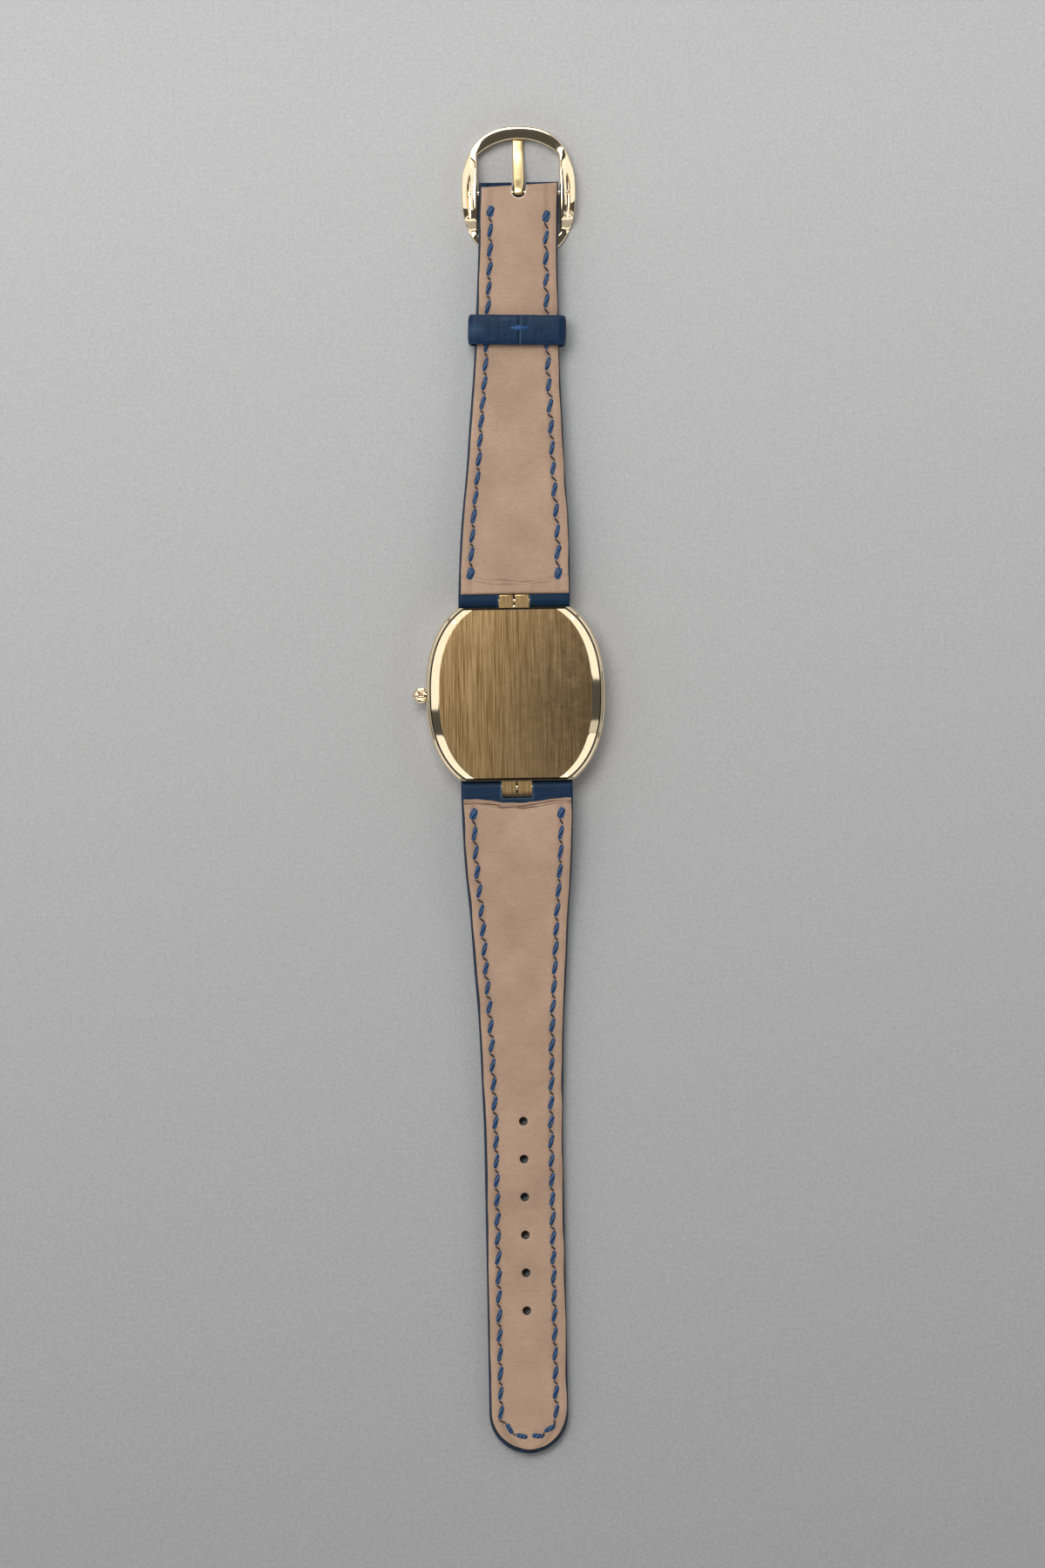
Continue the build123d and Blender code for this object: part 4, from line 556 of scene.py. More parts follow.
@dataclass(frozen=True)
class AlligatorHide:
    """Glazed alligator hide dyed navy: smooth scales, darker grooves, and pale streaks that are partly rubbed
    wear and partly painted highlight.

    Lengths are in millimetres.
    """

    name: str = "alligator_hide_navy"
    scale: str = "#092742"
    groove: str = "#040c14"
    # Pale colour of rubbed wear, also used for the painted highlight streaks
    rubbed: str = "#45637c"
    crease: float = 0.45
    crease_stretch: float = 4.0
    crease_depth: float = 0.13
    streak: float = 3.2
    streak_share: float = 3.0
    tone_stops: Span = (0.0, 0.75)
    edge_wear: float = 0.7

    def make(self) -> Material:
        """Build the material.

        Returns:
            Navy leather that reads its scales from the piece's relief attribute.
        """
        material, tree, place = start_material(self.name)
        relief = add(tree, "Attribute", {"attribute_name": "relief"}).outputs["Fac"]
        scale = scale_of(self.crease * self.crease_stretch, self.crease, self.crease)
        fine = add(tree, "Mapping", {"Scale": scale}, {"Vector": place})
        lines = add(tree, "TexNoise", {"Scale": 1.0, "Detail": 6.0, "Roughness": 0.7}, {"Vector": fine})
        scale = scale_of(self.streak, self.streak / self.streak_share, self.streak)
        broad = add(tree, "Mapping", {"Scale": scale}, {"Vector": place})
        streak_noise = add(tree, "TexNoise", {"Scale": 1.0, "Detail": 7.0, "Roughness": 0.8}, {"Vector": broad})
        tone = add(tree, "ValToRGB", between(self.tone_stops, self.groove, self.scale), {"Fac": relief})
        # Pale streaks from the noise: partly rubbed wear, partly painted highlight
        rub_and_highlight = add(tree, "MapRange", {"From Min": 0.6, "From Max": 0.78, "To Max": 0.3}, {"Value": streak_noise})
        edges = add(tree, "Attribute", {"attribute_name": "worn"}).outputs["Fac"]
        summing = {"operation": "MULTIPLY_ADD", 1: self.edge_wear, "use_clamp": True}
        amount = add(tree, "Math", summing, {0: edges, 2: rub_and_highlight})
        worn = add(tree, "MixRGB", {"Color2": linear(self.rubbed)}, {"Fac": amount, "Color1": tone})
        gloss = add(tree, "MapRange", {"To Min": 0.28, "To Max": 0.6}, {"Value": streak_noise})
        bump = add(tree, "Bump", {"Strength": 0.5, "Distance": self.crease_depth * MM}, {"Height": lines})
        close_material(
            tree, {"Specular IOR Level": 0.18}, {"Base Color": worn, "Roughness": gloss, "Normal": bump}
        )
        return material


@dataclass(frozen=True)
class Plain:
    """Non-metal whose colour, gloss and surface follow one fine grain. Lengths are in millimetres."""

    name: str
    light: str
    dark: str
    roughness: float = 0.5
    feature: float = 0.5
    depth: float = 0.03
    tone_stops: Span = (0.35, 0.65)
    gloss_shares: Span = (0.85, 1.15)

    def make(self) -> Material:
        """Build the material.

        Returns:
            Material with an even grain.
        """
        material, tree, place = start_material(self.name)
        grain = add(tree, "TexNoise", {"Scale": per_mm(self.feature), "Detail": 4.0}, {"Vector": place})
        tone = add(tree, "ValToRGB", between(self.tone_stops, self.dark, self.light), {"Fac": grain})
        low, high = (min(1.0, self.roughness * share) for share in self.gloss_shares)
        gloss = add(tree, "MapRange", {"To Min": low, "To Max": high}, {"Value": grain})
        bump = add(tree, "Bump", {"Strength": 0.5, "Distance": self.depth * MM}, {"Height": grain})
        close_material(
            tree, {"Specular IOR Level": 0.4}, {"Base Color": tone, "Roughness": gloss, "Normal": bump}
        )
        return material


@dataclass(frozen=True)
class Thread:
    """Waxed linen twisted from plies, with painted highlights on the turns and painted shade between them, in
    fine diagonal lines.

    Lengths are in millimetres, and the lean of the plies is in degrees.
    """

    name: str = "linen_thread_waxed"
    light: str = "#24517e"
    dark: str = "#081b35"
    ply: float = 0.3
    ply_depth: float = 0.08
    lean: float = 35.0
    tone_stops: Span = (0.15, 0.85)

    def make(self) -> Material:
        """Build the material.

        Returns:
            Blue thread with diagonal plies.
        """
        material, tree, place = start_material(self.name)
        turned = add(tree, "Mapping", {"Rotation": (0.0, 0.0, math.radians(self.lean))}, {"Vector": place})
        twist = {"Scale": per_mm(self.ply) / math.tau, "Distortion": 1.2, "Detail": 2.0}
        plies = add(tree, "TexWave", twist, {"Vector": turned}).outputs["Fac"]
        # Painted highlight and shade across the plies
        tone = add(tree, "ValToRGB", between(self.tone_stops, self.dark, self.light), {"Fac": plies})
        bump = add(tree, "Bump", {"Strength": 0.6, "Distance": self.ply_depth * MM}, {"Height": plies})
        settings = {"Roughness": 0.5, "Specular IOR Level": 0.4}
        close_material(tree, settings, {"Base Color": tone, "Normal": bump})
        return material


@dataclass(frozen=True)
class Clear:
    """Clear polished stone with the faintest haze from wiping, in smears some millimetres wide."""

    name: str
    colour: str
    ior: float
    haze: float = 0.04
    wipe: float = 4.0

    def make(self) -> Material:
        """Build the material.

        Returns:
            Transmitting material with uneven gloss.
        """
        material, tree, place = start_material(self.name)
        wiped = add(tree, "TexNoise", {"Scale": per_mm(self.wipe), "Detail": 4.0}, {"Vector": place})
        gloss = add(tree, "MapRange", {"To Max": self.haze}, {"Value": wiped})
        settings = {"Base Color": linear(self.colour), "Transmission Weight": 1.0, "IOR": self.ior}
        close_material(tree, settings, {"Roughness": gloss})
        return material


@dataclass(frozen=True)
class SunburstDial:
    """Brass dial brushed outwards from its centre, under dark blue lacquer. Rays are counted per radian."""

    name: str = "dial_lacquer_blue"
    light: str = "#1d3f6b"
    dark: str = "#0a1c38"
    rays: float = 90.0
    ray_depth: float = 0.01
    tone_stops: Span = (0.35, 0.65)

    def make(self) -> Material:
        """Build the material.

        Returns:
            Glossy blue with fine rays that run out from the centre.
        """
        material, tree, place = start_material(self.name)
        parts = add(tree, "SeparateXYZ", {}, {"Vector": place})
        angle = add(tree, "Math", {"operation": "ARCTAN2"}, {0: parts.outputs["Y"], 1: parts.outputs["X"]})
        spacing = {"noise_dimensions": "1D", "Scale": self.rays, "Detail": 3.0}
        rays = add(tree, "TexNoise", spacing, {"W": angle})
        tone = add(tree, "ValToRGB", between(self.tone_stops, self.dark, self.light), {"Fac": rays})
        bump = add(tree, "Bump", {"Strength": 0.2, "Distance": self.ray_depth * MM}, {"Height": rays})
        settings = {"Metallic": 0.7, "Roughness": 0.3, "Coat Weight": 0.8}
        close_material(tree, settings, {"Base Color": tone, "Normal": bump})
        return material


class Palette:
    """Every material of the watch, made once and found by its record slot."""

    def __init__(self) -> None:
        """Make the materials of all slots and those that are only looks."""
        finishes = {
            "polished_gold": Metal("gold_polished", "#f7e5c4", "#f0dcb8", roughness=0.06),
            "brushed_gold": BrushedBack(),
            "sapphire": Clear("sapphire_crystal", "#fbfdff", 1.77),
            "black_rubber": Plain("nitrile_rubber", "#1c1c1c", "#101010", 0.8),
            "blue_dial": SunburstDial(),
            "nickel_plate": Metal("nickel_plated_brass", "#d8d5cc", "#aba89f", Look.BRUSHED, 0.3, 0.3, 14.0),
            "polished_steel": Metal("steel_polished", "#d4d6da", "#c4c6ca", roughness=0.12),
            "spring_steel": Metal("spring_steel_blued", "#7f93b8", "#5f7196", Look.SATIN, 0.25),
            "gilt_brass": Metal("brass_gilt", "#e6bf72", "#d0a658", Look.SATIN, 0.25, 0.12),
            "ruby": Clear("ruby_jewel", "#b3123a", 1.76),
            "blue_alligator": AlligatorHide(),
            "leather_core": Plain("leather_core_board", "#6d5b4d", "#55473c", 0.85, 0.3, 0.08),
            "tan_calf": CalfLining(),
            "blue_thread": Thread(),
        }
        self.slots: dict[str, Material] = {
            slot: finish.make() for slot, finish in finishes.items()
        }
        self.gold = self.slots["polished_gold"]
        self.edge_paint = Plain("edge_paint_navy", "#0f293f", "#081826", 0.45, 0.6, 0.05).make()
        self.thread_shadow = Plain("linen_thread_shadowed", "#0f1a2c", "#060b14", 0.7, 0.16, 0.05).make()
        self.satin_gold = Metal("gold_satin", "#f0d6a2", "#e2c792", Look.BRUSHED, 0.32, 0.04, 5.0).make()
        # Darker gold for the crown's flutes: grime and painted shade in the hollows
        self.flute_grime_and_painted_shade = Metal("gold_in_flutes_grime_and_painted_shade", "#a87a42", "#7c5426", roughness=0.3).make()
        self.pressed_thread = Plain("linen_thread_pressed", "#184a80", "#123863", 0.5, 0.8, 0.05).make()
        # Dark material for the foot of the case's seam: grime and painted shade in the gap
        self.grime_and_painted_shade = Plain("seam_grime", "#33291c", "#191309", 0.8, 0.6, 0.05).make()
        # Brushed gold of the lugs, whose base colour is darkened with painted shade
        self.lug_gold_painted_shade = Metal("gold_brushed_lug_painted_shade", "#ae9166", "#86704c", Look.BRUSHED, 0.38, 0.16, 5.0).make()

    def dress_nodes(self, nodes: dict[str, Piece], subparts: Sequence[dict[str, Any]]) -> None:
        """Give each carried-over CAD node the material of its record slot.

        Args:
            nodes: CAD nodes by their names.
            subparts: Rows of the record, each with a node and its material slot.
        """
        for part in subparts:
            mesh = nodes[part["node"]].data
            mesh.materials.clear()
            mesh.materials.append(self.slots[part["material_slot"]])


# The case

@dataclass
class OvalCase:
    """Band, bezel, crystal, case back and lugs, on one oval outline. Sizes in millimetres."""

    palette: Palette
    half_width: float = 15.55
    half_length: float = 17.8
    power: float = 2.4
    side_steps: int = 96
    end_steps: int = 56
    band_end: float = 14.95
    wall: float = 1.0
    side_wall: float = 1.95
    seam_inset: float = 0.65
    seam_gap: float = 0.25
    seam_depth: float = 0.3
    bevel_width: float = 1.4
    bevel_end_width: float = 0.55
    bevel_shares: tuple[float, ...] = (0.02, 0.2, 0.4, 0.6, 0.8, 0.94)
    back_end: float = 14.6
    overhang: float = 0.3
    bezel_inset: float = 1.0
    bezel_width: float = 2.1
    gasket: float = 0.25
    crystal_height: float = 0.75
    crystal_bevel: float = 0.1
    bezel_setback: float = 0.1
    dial_seat_inset: float = 1.8
    edge: float = 0.04
    lug_width: float = 5.2
    lug_reach: float = 17.5
    lug_top: float = 4.75
    lug_round: float = 0.5
    lug_round_steps: int = 8
    lug_rim_angle: float = 40.0
    flat_area: float = 0.8
    level_share: float = 0.9
    slit: float = 0.3
    slit_start: float = 15.35
    bar_radius: float = 0.59
    bar_height: float = 3.25
    bar_reach: float = 16.2
    bar_length: float = 18.2
    profile_steps: int = 26
    seam_rise: float = 0.3
    band_knots: Knots = ((0, 0), (0.4, 0.0), (0.72, 0.02), (0.8, 0.1), (0.9, 0.44), (1, 1))
    bezel_knots: Knots = ((0, 1), (0.1, 0.72), (0.3, 0.4), (0.6, 0.12), (1, 0))
    heights: dict[str, float] = field(default_factory=dict)

    def __post_init__(self) -> None:
        """Read the stack of heights from the frame."""
        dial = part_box("dial")
        self.heights = {
            "dial_face": dial[0].z / MM,
            "dial_back": dial[1].z / MM,
            "seam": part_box("case_back_gasket")[1].z / MM,
            "back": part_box("case_back")[1].z / MM,
        }

    def loop(
        self, inset: float, z: float, cut: float = math.inf, end_inset: float | None = None
    ) -> list[Vector]:
        """Draw the case's oval, drawn in and with flat ends if it is cut.

        Args:
            inset: Distance by which the sides are drawn in.
            z: Height of the loop.
            cut: Reach along Y at which both ends are flat.
            end_inset: Distance by which the ends are drawn in, if not the same.

        Returns:
            Points of the loop, whose numbering is alike at every inset and cut.
        """
        width = self.half_width - inset
        length = self.half_length - (inset if end_inset is None else end_inset)
        longest_split = 0.97
        split = min(cut, self.band_end, length * longest_split)
        corner = math.asin((split / length) ** (self.power / 2))

        def on_oval(angle: float) -> Span:
            """Give the uncut oval's point at a parameter angle."""
            power = 2 / self.power
            return width * blunt(math.cos(angle), power), length * blunt(math.sin(angle), power)

        points = []
        for turn in (1, -1):
            for step in range(self.side_steps):
                x, y = on_oval(corner * (2 * step / self.side_steps - 1))
                points.append((turn * x, turn * y))
            edge = on_oval(corner)[0]
            for step in range(self.end_steps):
                share = step / self.end_steps
                if cut < length:
                    x, y = edge * (1 - 2 * share), cut
                else:
                    x, y = on_oval(corner + (math.pi - 2 * corner) * share)
                points.append((turn * x, turn * y))
        return [Vector((x, y, z)) for x, y in points]

    def raised(self, y: float) -> float:
        """Give how far the seam climbs towards the flat ends, which keeps the bevel's slope even."""
        return self.seam_rise * ease(abs(y), self.half_length / 2, self.band_end)

    def build_middle(self) -> None:
        """Build the band with its flat ends and its two split lugs."""
        low, top = self.heights["dial_face"], self.heights["seam"]
        ledge = self.heights["dial_back"] + self.overhang
        loops = []
        for z in spread(low, top, self.profile_steps):
            inset = self.seam_inset * curve_value(self.band_knots, (z - low) / (top - low))
            if z <= ledge:
                loops.append(self.loop(inset, z))
                continue
            if loops[-1][0].z < ledge:
                loops.append(self.loop(0, ledge))
                loops.append(self.loop(0, ledge, self.band_end))
            loops.append(self.loop(inset, z, self.band_end))
        inner = self.seam_inset + self.seam_gap
        cavity_end = self.band_end - self.wall
        loops += [
            self.loop(self.seam_inset + self.edge, top, self.band_end - self.edge),
            self.loop(self.seam_inset + self.edge, top - self.seam_depth, self.band_end - self.edge),
            self.loop(inner + self.seam_gap, top - self.seam_depth, self.band_end - self.seam_gap),
            self.loop(self.side_wall, top - 2 * self.seam_depth, cavity_end),
            self.loop(self.side_wall, self.heights["dial_back"], cavity_end),
            self.loop(self.dial_seat_inset, self.heights["dial_back"]),
            self.loop(self.dial_seat_inset, low),
        ]
        bm = bmesh.new()
        loft(bm, loops, ring=True)
        for vert in bm.verts:
            vert.co.z += self.raised(vert.co.y) * ease(vert.co.z, ledge, top)
        for side in (1, -1):
            self.add_lug(bm, side)
        bm.normal_update()
        for face in bm.faces:
            middle = face.calc_center_median()
            # Faces of the lugs take the brushed gold darkened with painted shade
            on_lug = abs(middle.y) > self.band_end + self.edge and middle.z > ledge + self.edge
            # Level faces at the foot of the seam take the dark material of grime and painted shade
            in_seam = abs(middle.z - top - self.raised(middle.y) + self.seam_depth) < self.seam_depth / 2
            level = abs(face.normal.z) > self.level_share
            face.material_index = 1 if on_lug else 2 if in_seam and level else 0
        materials = [self.palette.gold, self.palette.lug_gold_painted_shade, self.palette.grime_and_painted_shade]
        piece = finish_mesh(bm, "case_band", materials, sharp=28.0)
        for polygon in piece.data.polygons:
            if polygon.material_index == 1 and polygon.area > self.flat_area * MM * MM:
                polygon.use_smooth = False
        install(piece, "case", "polished_gold", "case_middle")

    def add_lug(self, bm: Mesh, side: int) -> None:
        """Add one lug: two cheeks beside the slit, on a floor that joins them.

        Args:
            bm: Mesh that receives it.
            side: Sign of Y of the case's end.
        """
        start = self.band_end - self.wall / 2
        low = self.heights["dial_back"] + self.overhang / 2
        floor = self.bar_height - self.bar_radius
        blocks = [
            ((-self.lug_width / 2, start, low), (-self.slit / 2, self.lug_reach, self.lug_top)),
            ((self.slit / 2, start, low), (self.lug_width / 2, self.lug_reach, self.lug_top)),
            ((-self.slit, start, low), (self.slit, self.lug_reach - self.lug_round, floor)),
            ((-self.slit, start, low), (self.slit, self.slit_start, self.lug_top - self.edge)),
        ]
        for index, (corner, opposite) in enumerate(blocks):
            part = bmesh.new()
            low_corner, high_corner = Vector(corner), Vector(opposite)
            place = Matrix.Translation((low_corner + high_corner) / 2)
            size = Matrix.Diagonal((high_corner - low_corner).to_4d())
            size[3][3] = 1.0
            bmesh.ops.create_cube(part, size=1.0, matrix=place @ size)
            if index < 2:
                outer = [e for e in part.edges if all(v.co.y > self.lug_reach - self.edge for v in e.verts)]
                across = [e for e in outer if abs(e.verts[0].co.z - e.verts[1].co.z) < self.edge]
                bmesh.ops.bevel(
                    part, geom=across, offset=self.lug_round, segments=self.lug_round_steps,
                    profile=0.5, affect="EDGES", material=-1,
                )
            rim = [e for e in part.edges if e.calc_face_angle(0.0) > math.radians(self.lug_rim_angle)]
            bmesh.ops.bevel(
                part, geom=rim, offset=self.edge, segments=2, profile=0.5, affect="EDGES", material=-1
            )
            turn = Matrix.Rotation(0.0 if side > 0 else math.pi, 4, "Z")
            bmesh.ops.transform(part, matrix=turn, verts=part.verts)
            mesh = bpy.data.meshes.new("lug_block")
            part.to_mesh(mesh)
            part.free()
            bm.from_mesh(mesh)
            bpy.data.meshes.remove(mesh)

    def build_back(self) -> None:
        """Build the snap-on back: brushed flat, polished bevels and straight ends."""
        seam, top = self.heights["seam"], self.heights["back"]
        inset = self.seam_inset + self.seam_gap
        foot = seam + self.edge / 2
        rise = top - seam - self.edge
        cavity_end = self.band_end - self.wall - self.edge

        def at(share: float, z: float, cut: float) -> list[Vector]:
            """Give the loop at a share of the bevel's width."""
            return self.loop(inset + self.bevel_width * share, z, cut, inset + self.bevel_end_width * share)

        loops = [
            self.loop(self.side_wall + self.edge, seam - 2 * self.seam_depth, cavity_end),
            self.loop(self.side_wall + self.edge, seam - self.seam_depth, cavity_end),
            self.loop(inset, seam - self.seam_depth, self.back_end - self.seam_gap),
            self.loop(inset, foot, self.back_end),
        ]
        loops += [at(share, foot + rise * share, self.back_end) for share in self.bevel_shares]
        loops.append(at(1 - self.edge / 2, top - self.edge / 3, self.back_end - self.edge))
        loops.append(at(1 + self.edge / 2, top, self.back_end - self.edge))
        loops.append(at(1 + self.edge * 2, top, self.back_end - self.edge * 2))
        bm = bmesh.new()
        loft(bm, loops)
        for vert in bm.verts:
            vert.co.z += self.raised(vert.co.y) * min(1.0, (top - vert.co.z) / rise)
        bm.normal_update()
        for face in bm.faces:
            middle = face.calc_center_median()
            on_flat = abs(face.normal.z) > self.level_share and middle.z > top - self.edge
            face.material_index = 1 if on_flat else 0
        materials = [self.palette.gold, self.palette.slots["brushed_gold"]]
        piece = finish_mesh(bm, "case_back_plate", materials, sharp=24.0)
        install(piece, "case", "brushed_gold", "case_back")

    def build_bezel(self) -> None:
        """Build the domed front ring."""
        low, top = self.bezel_setback, self.heights["dial_face"]
        loops = [
            self.loop(self.bezel_inset * curve_value(self.bezel_knots, share), low + (top - low) * share)
            for share in spread(0, 1, self.profile_steps)
        ]
        loops += [
            self.loop(self.bezel_width + self.gasket, top),
            self.loop(self.bezel_width + self.gasket, self.crystal_height),
            self.loop(self.bezel_width - self.gasket, self.crystal_height),
            self.loop(self.bezel_width - self.gasket, low + self.edge),
            self.loop(self.bezel_width - self.gasket - self.edge, low),
            self.loop(self.bezel_inset + self.edge, low),
        ]
        bm = bmesh.new()
        loft(bm, loops, ring=True)
        piece = finish_mesh(bm, "bezel_ring", [self.palette.gold], sharp=35.0)
        install(piece, "case", "polished_gold", "bezel")

    def build_crystal(self) -> None:
        """Build the flat crystal with its small polished bevel."""
        inset = self.bezel_width
        loops = [
            self.loop(inset + self.crystal_bevel, 0),
            self.loop(inset, self.crystal_bevel),
            self.loop(inset, self.crystal_height),
        ]
        bm = bmesh.new()
        loft(bm, loops)
        piece = finish_mesh(bm, "crystal_plate", [self.palette.slots["sapphire"]], sharp=20.0)
        install(piece, "case", "sapphire", "crystal")

    def build_bars(self) -> None:
        """Build the two solid strap bars."""
        bm = bmesh.new()
        half = Vector((self.bar_length / 2, 0, 0))
        for side in (1, -1):
            centre = Vector((0, side * self.bar_reach, self.bar_height))
            round_bar(bm, self.bar_radius, centre - half, centre + half)
        piece = finish_mesh(bm, "strap_bar_pair", [self.palette.gold])
        install(piece, "case", "polished_gold", "strap_bars")

    def build(self) -> None:
        """Build every piece of the case."""
        self.build_middle()
        self.build_back()
        self.build_bezel()
        self.build_crystal()
        self.build_bars()


@dataclass
class Crown:
    """Fluted winding crown with a stepped cap. Sizes in millimetres."""

    palette: Palette
    radius: float = 1.35
    length: float = 1.3
    flutes: int = 24
    points_per_flute: int = 8
    flute_depth: float = 0.22
    flange: float = 0.2
    flute_roundness: float = 1.5
    chamfer: float = 0.12
    inner_share: float = 0.75
    cap_knots: Knots = ((0, 1.2), (0.25, 1.1), (0.55, 0.86), (0.8, 0.52), (1, 0.06))
    cap_length: float = 0.98
    cap_steps: int = 10

    def build(self) -> None:
        """Build the crown between the places that the frame gives."""
        low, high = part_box("crown")
        z = (low.z + high.z) / 2 / MM
        inner, outer = high.x / MM, high.x / MM - self.length
        count = self.flutes * self.points_per_flute

        def ring(x: float, radius: float, depth: float) -> list[Vector]:
            """Draw a loop across the crown's axis.

            Args:
                x: Place of the loop.
                radius: Radius at the flutes' crests.
                depth: Depth of the flutes.

            Returns:
                Points of the loop.
            """
            points = []
            for index in range(count):
                angle = math.tau * index / count
                wave = abs(math.sin(angle * self.flutes / 2)) ** self.flute_roundness
                reach = radius - depth * (1 - wave)
                points.append(Vector((x, reach * math.cos(angle), z + reach * math.sin(angle))))
            return points

        loops = [
            ring(inner, self.radius * self.inner_share, 0.0),
            ring(inner, self.radius - self.chamfer, 0.0),
            ring(inner - self.chamfer, self.radius, 0.0),
            ring(inner - self.flange, self.radius, 0.0),
            ring(inner - self.flange - self.chamfer / 2, self.radius, self.flute_depth),
            ring(outer + self.chamfer, self.radius, self.flute_depth),
            ring(outer, self.radius - self.chamfer, 0.0),
        ]
        for share in spread(0, 1, self.cap_steps):
            loops.append(ring(outer - self.cap_length * share, curve_value(self.cap_knots, share), 0.0))
        bm = bmesh.new()
        loft(bm, loops)
        # Faces sunk in the flutes take the darker gold of grime and painted shade
        for face in bm.faces:
            middle = face.calc_center_median()
            sunk = math.hypot(middle.y, middle.z - z) < self.radius - self.flute_depth / 2
            fluted = outer + self.chamfer / 2 < middle.x < inner - self.flange
            face.material_index = 1 if sunk and fluted else 0
        materials = [self.palette.gold, self.palette.flute_grime_and_painted_shade]
        piece = finish_mesh(bm, "crown_fluted", materials, sharp=38.0)
        install(piece, "crown", "polished_gold", "crown")


# The straps

@dataclass(frozen=True)
class Scales:
    """Rows of alligator scales, as their relief at a place. Sizes in millimetres."""

    row: float = 5.2
    column: float = 4.6
    groove: float = 0.55
    row_wander: Ripple = Ripple(0.44, 1.7, 6.0, 6.0)
    column_wander: Ripple = Ripple(0.44, 8.3, 6.0, 6.0)
    stagger: Ripple = Ripple(0.8, 0.5, 0.3, 1.0)
    side_share: float = 0.62
    side_start: float = 0.45
    side_end: float = 0.6

    def relief(self, x: float, y: float, half_width: float) -> float:
        """Give the relief, from 0 in a groove to 1 on a scale.

        Args:
            x: Place across the strap.
            y: Place along the strap.
            half_width: Half width of the strap there.

        Returns:
            Share of the full height.
        """
        narrow = 1 - (1 - self.side_share) * ease(abs(x) / half_width, self.side_start, self.side_end)
        row = y / (self.row * narrow) + self.row_wander.at(x, y)
        place = row - math.floor(row)
        along = min(place, 1 - place) * self.row * narrow
        offset = self.stagger.at(math.floor(row), 0.0)
        column = x / (self.column * narrow) + offset + self.column_wander.at(x, y)
        place = column - math.floor(column)
        across = min(place, 1 - place) * self.column * narrow
        return ease(min(along, across), 0.0, self.groove)


@dataclass(frozen=True)
class StitchRow:
    """One row of stitches: how many, where the first one is and how far apart. Sizes in millimetres."""

    count: int
    first: float
    pitch: float


@dataclass(frozen=True)
class Lip:
    """The lining's rough-cut end at the lug, with the creases behind it. Sizes in millimetres."""

    start: float
    sag: float
    lift: float
    lift_run: float
    wander: Ripple
    waves: Ripple
    creases: tuple[float, ...]
    crease_wander: Ripple
    crease: Hump = Hump(1.0, 0.08)
    crease_arc: float = 0.0
    crease_depth: float = 0.12
    crease_shade: float = 0.6
    crease_fade: Ripple = Ripple(1.0, 9.1, 3.0, 1.0)
    crease_fade_span: Span = (-0.3, 0.2)
    crease_least: float = 0.35
    crease_seed_step: int = 3
    sag_flat: float = 0.5
    sag_margin: float = 1.0
    clear_span: Span = (-0.1, 0.9)
    lift_flat: float = 0.2
    curl: float = 0.0
    curl_run: float = 0.9
    curl_mean: float = 0.65
    curl_waves: Ripple = Ripple(0.5, 6.6, 2.2, 1.0)
    fine_run: float = 2.6
    fine_step: float = 0.08


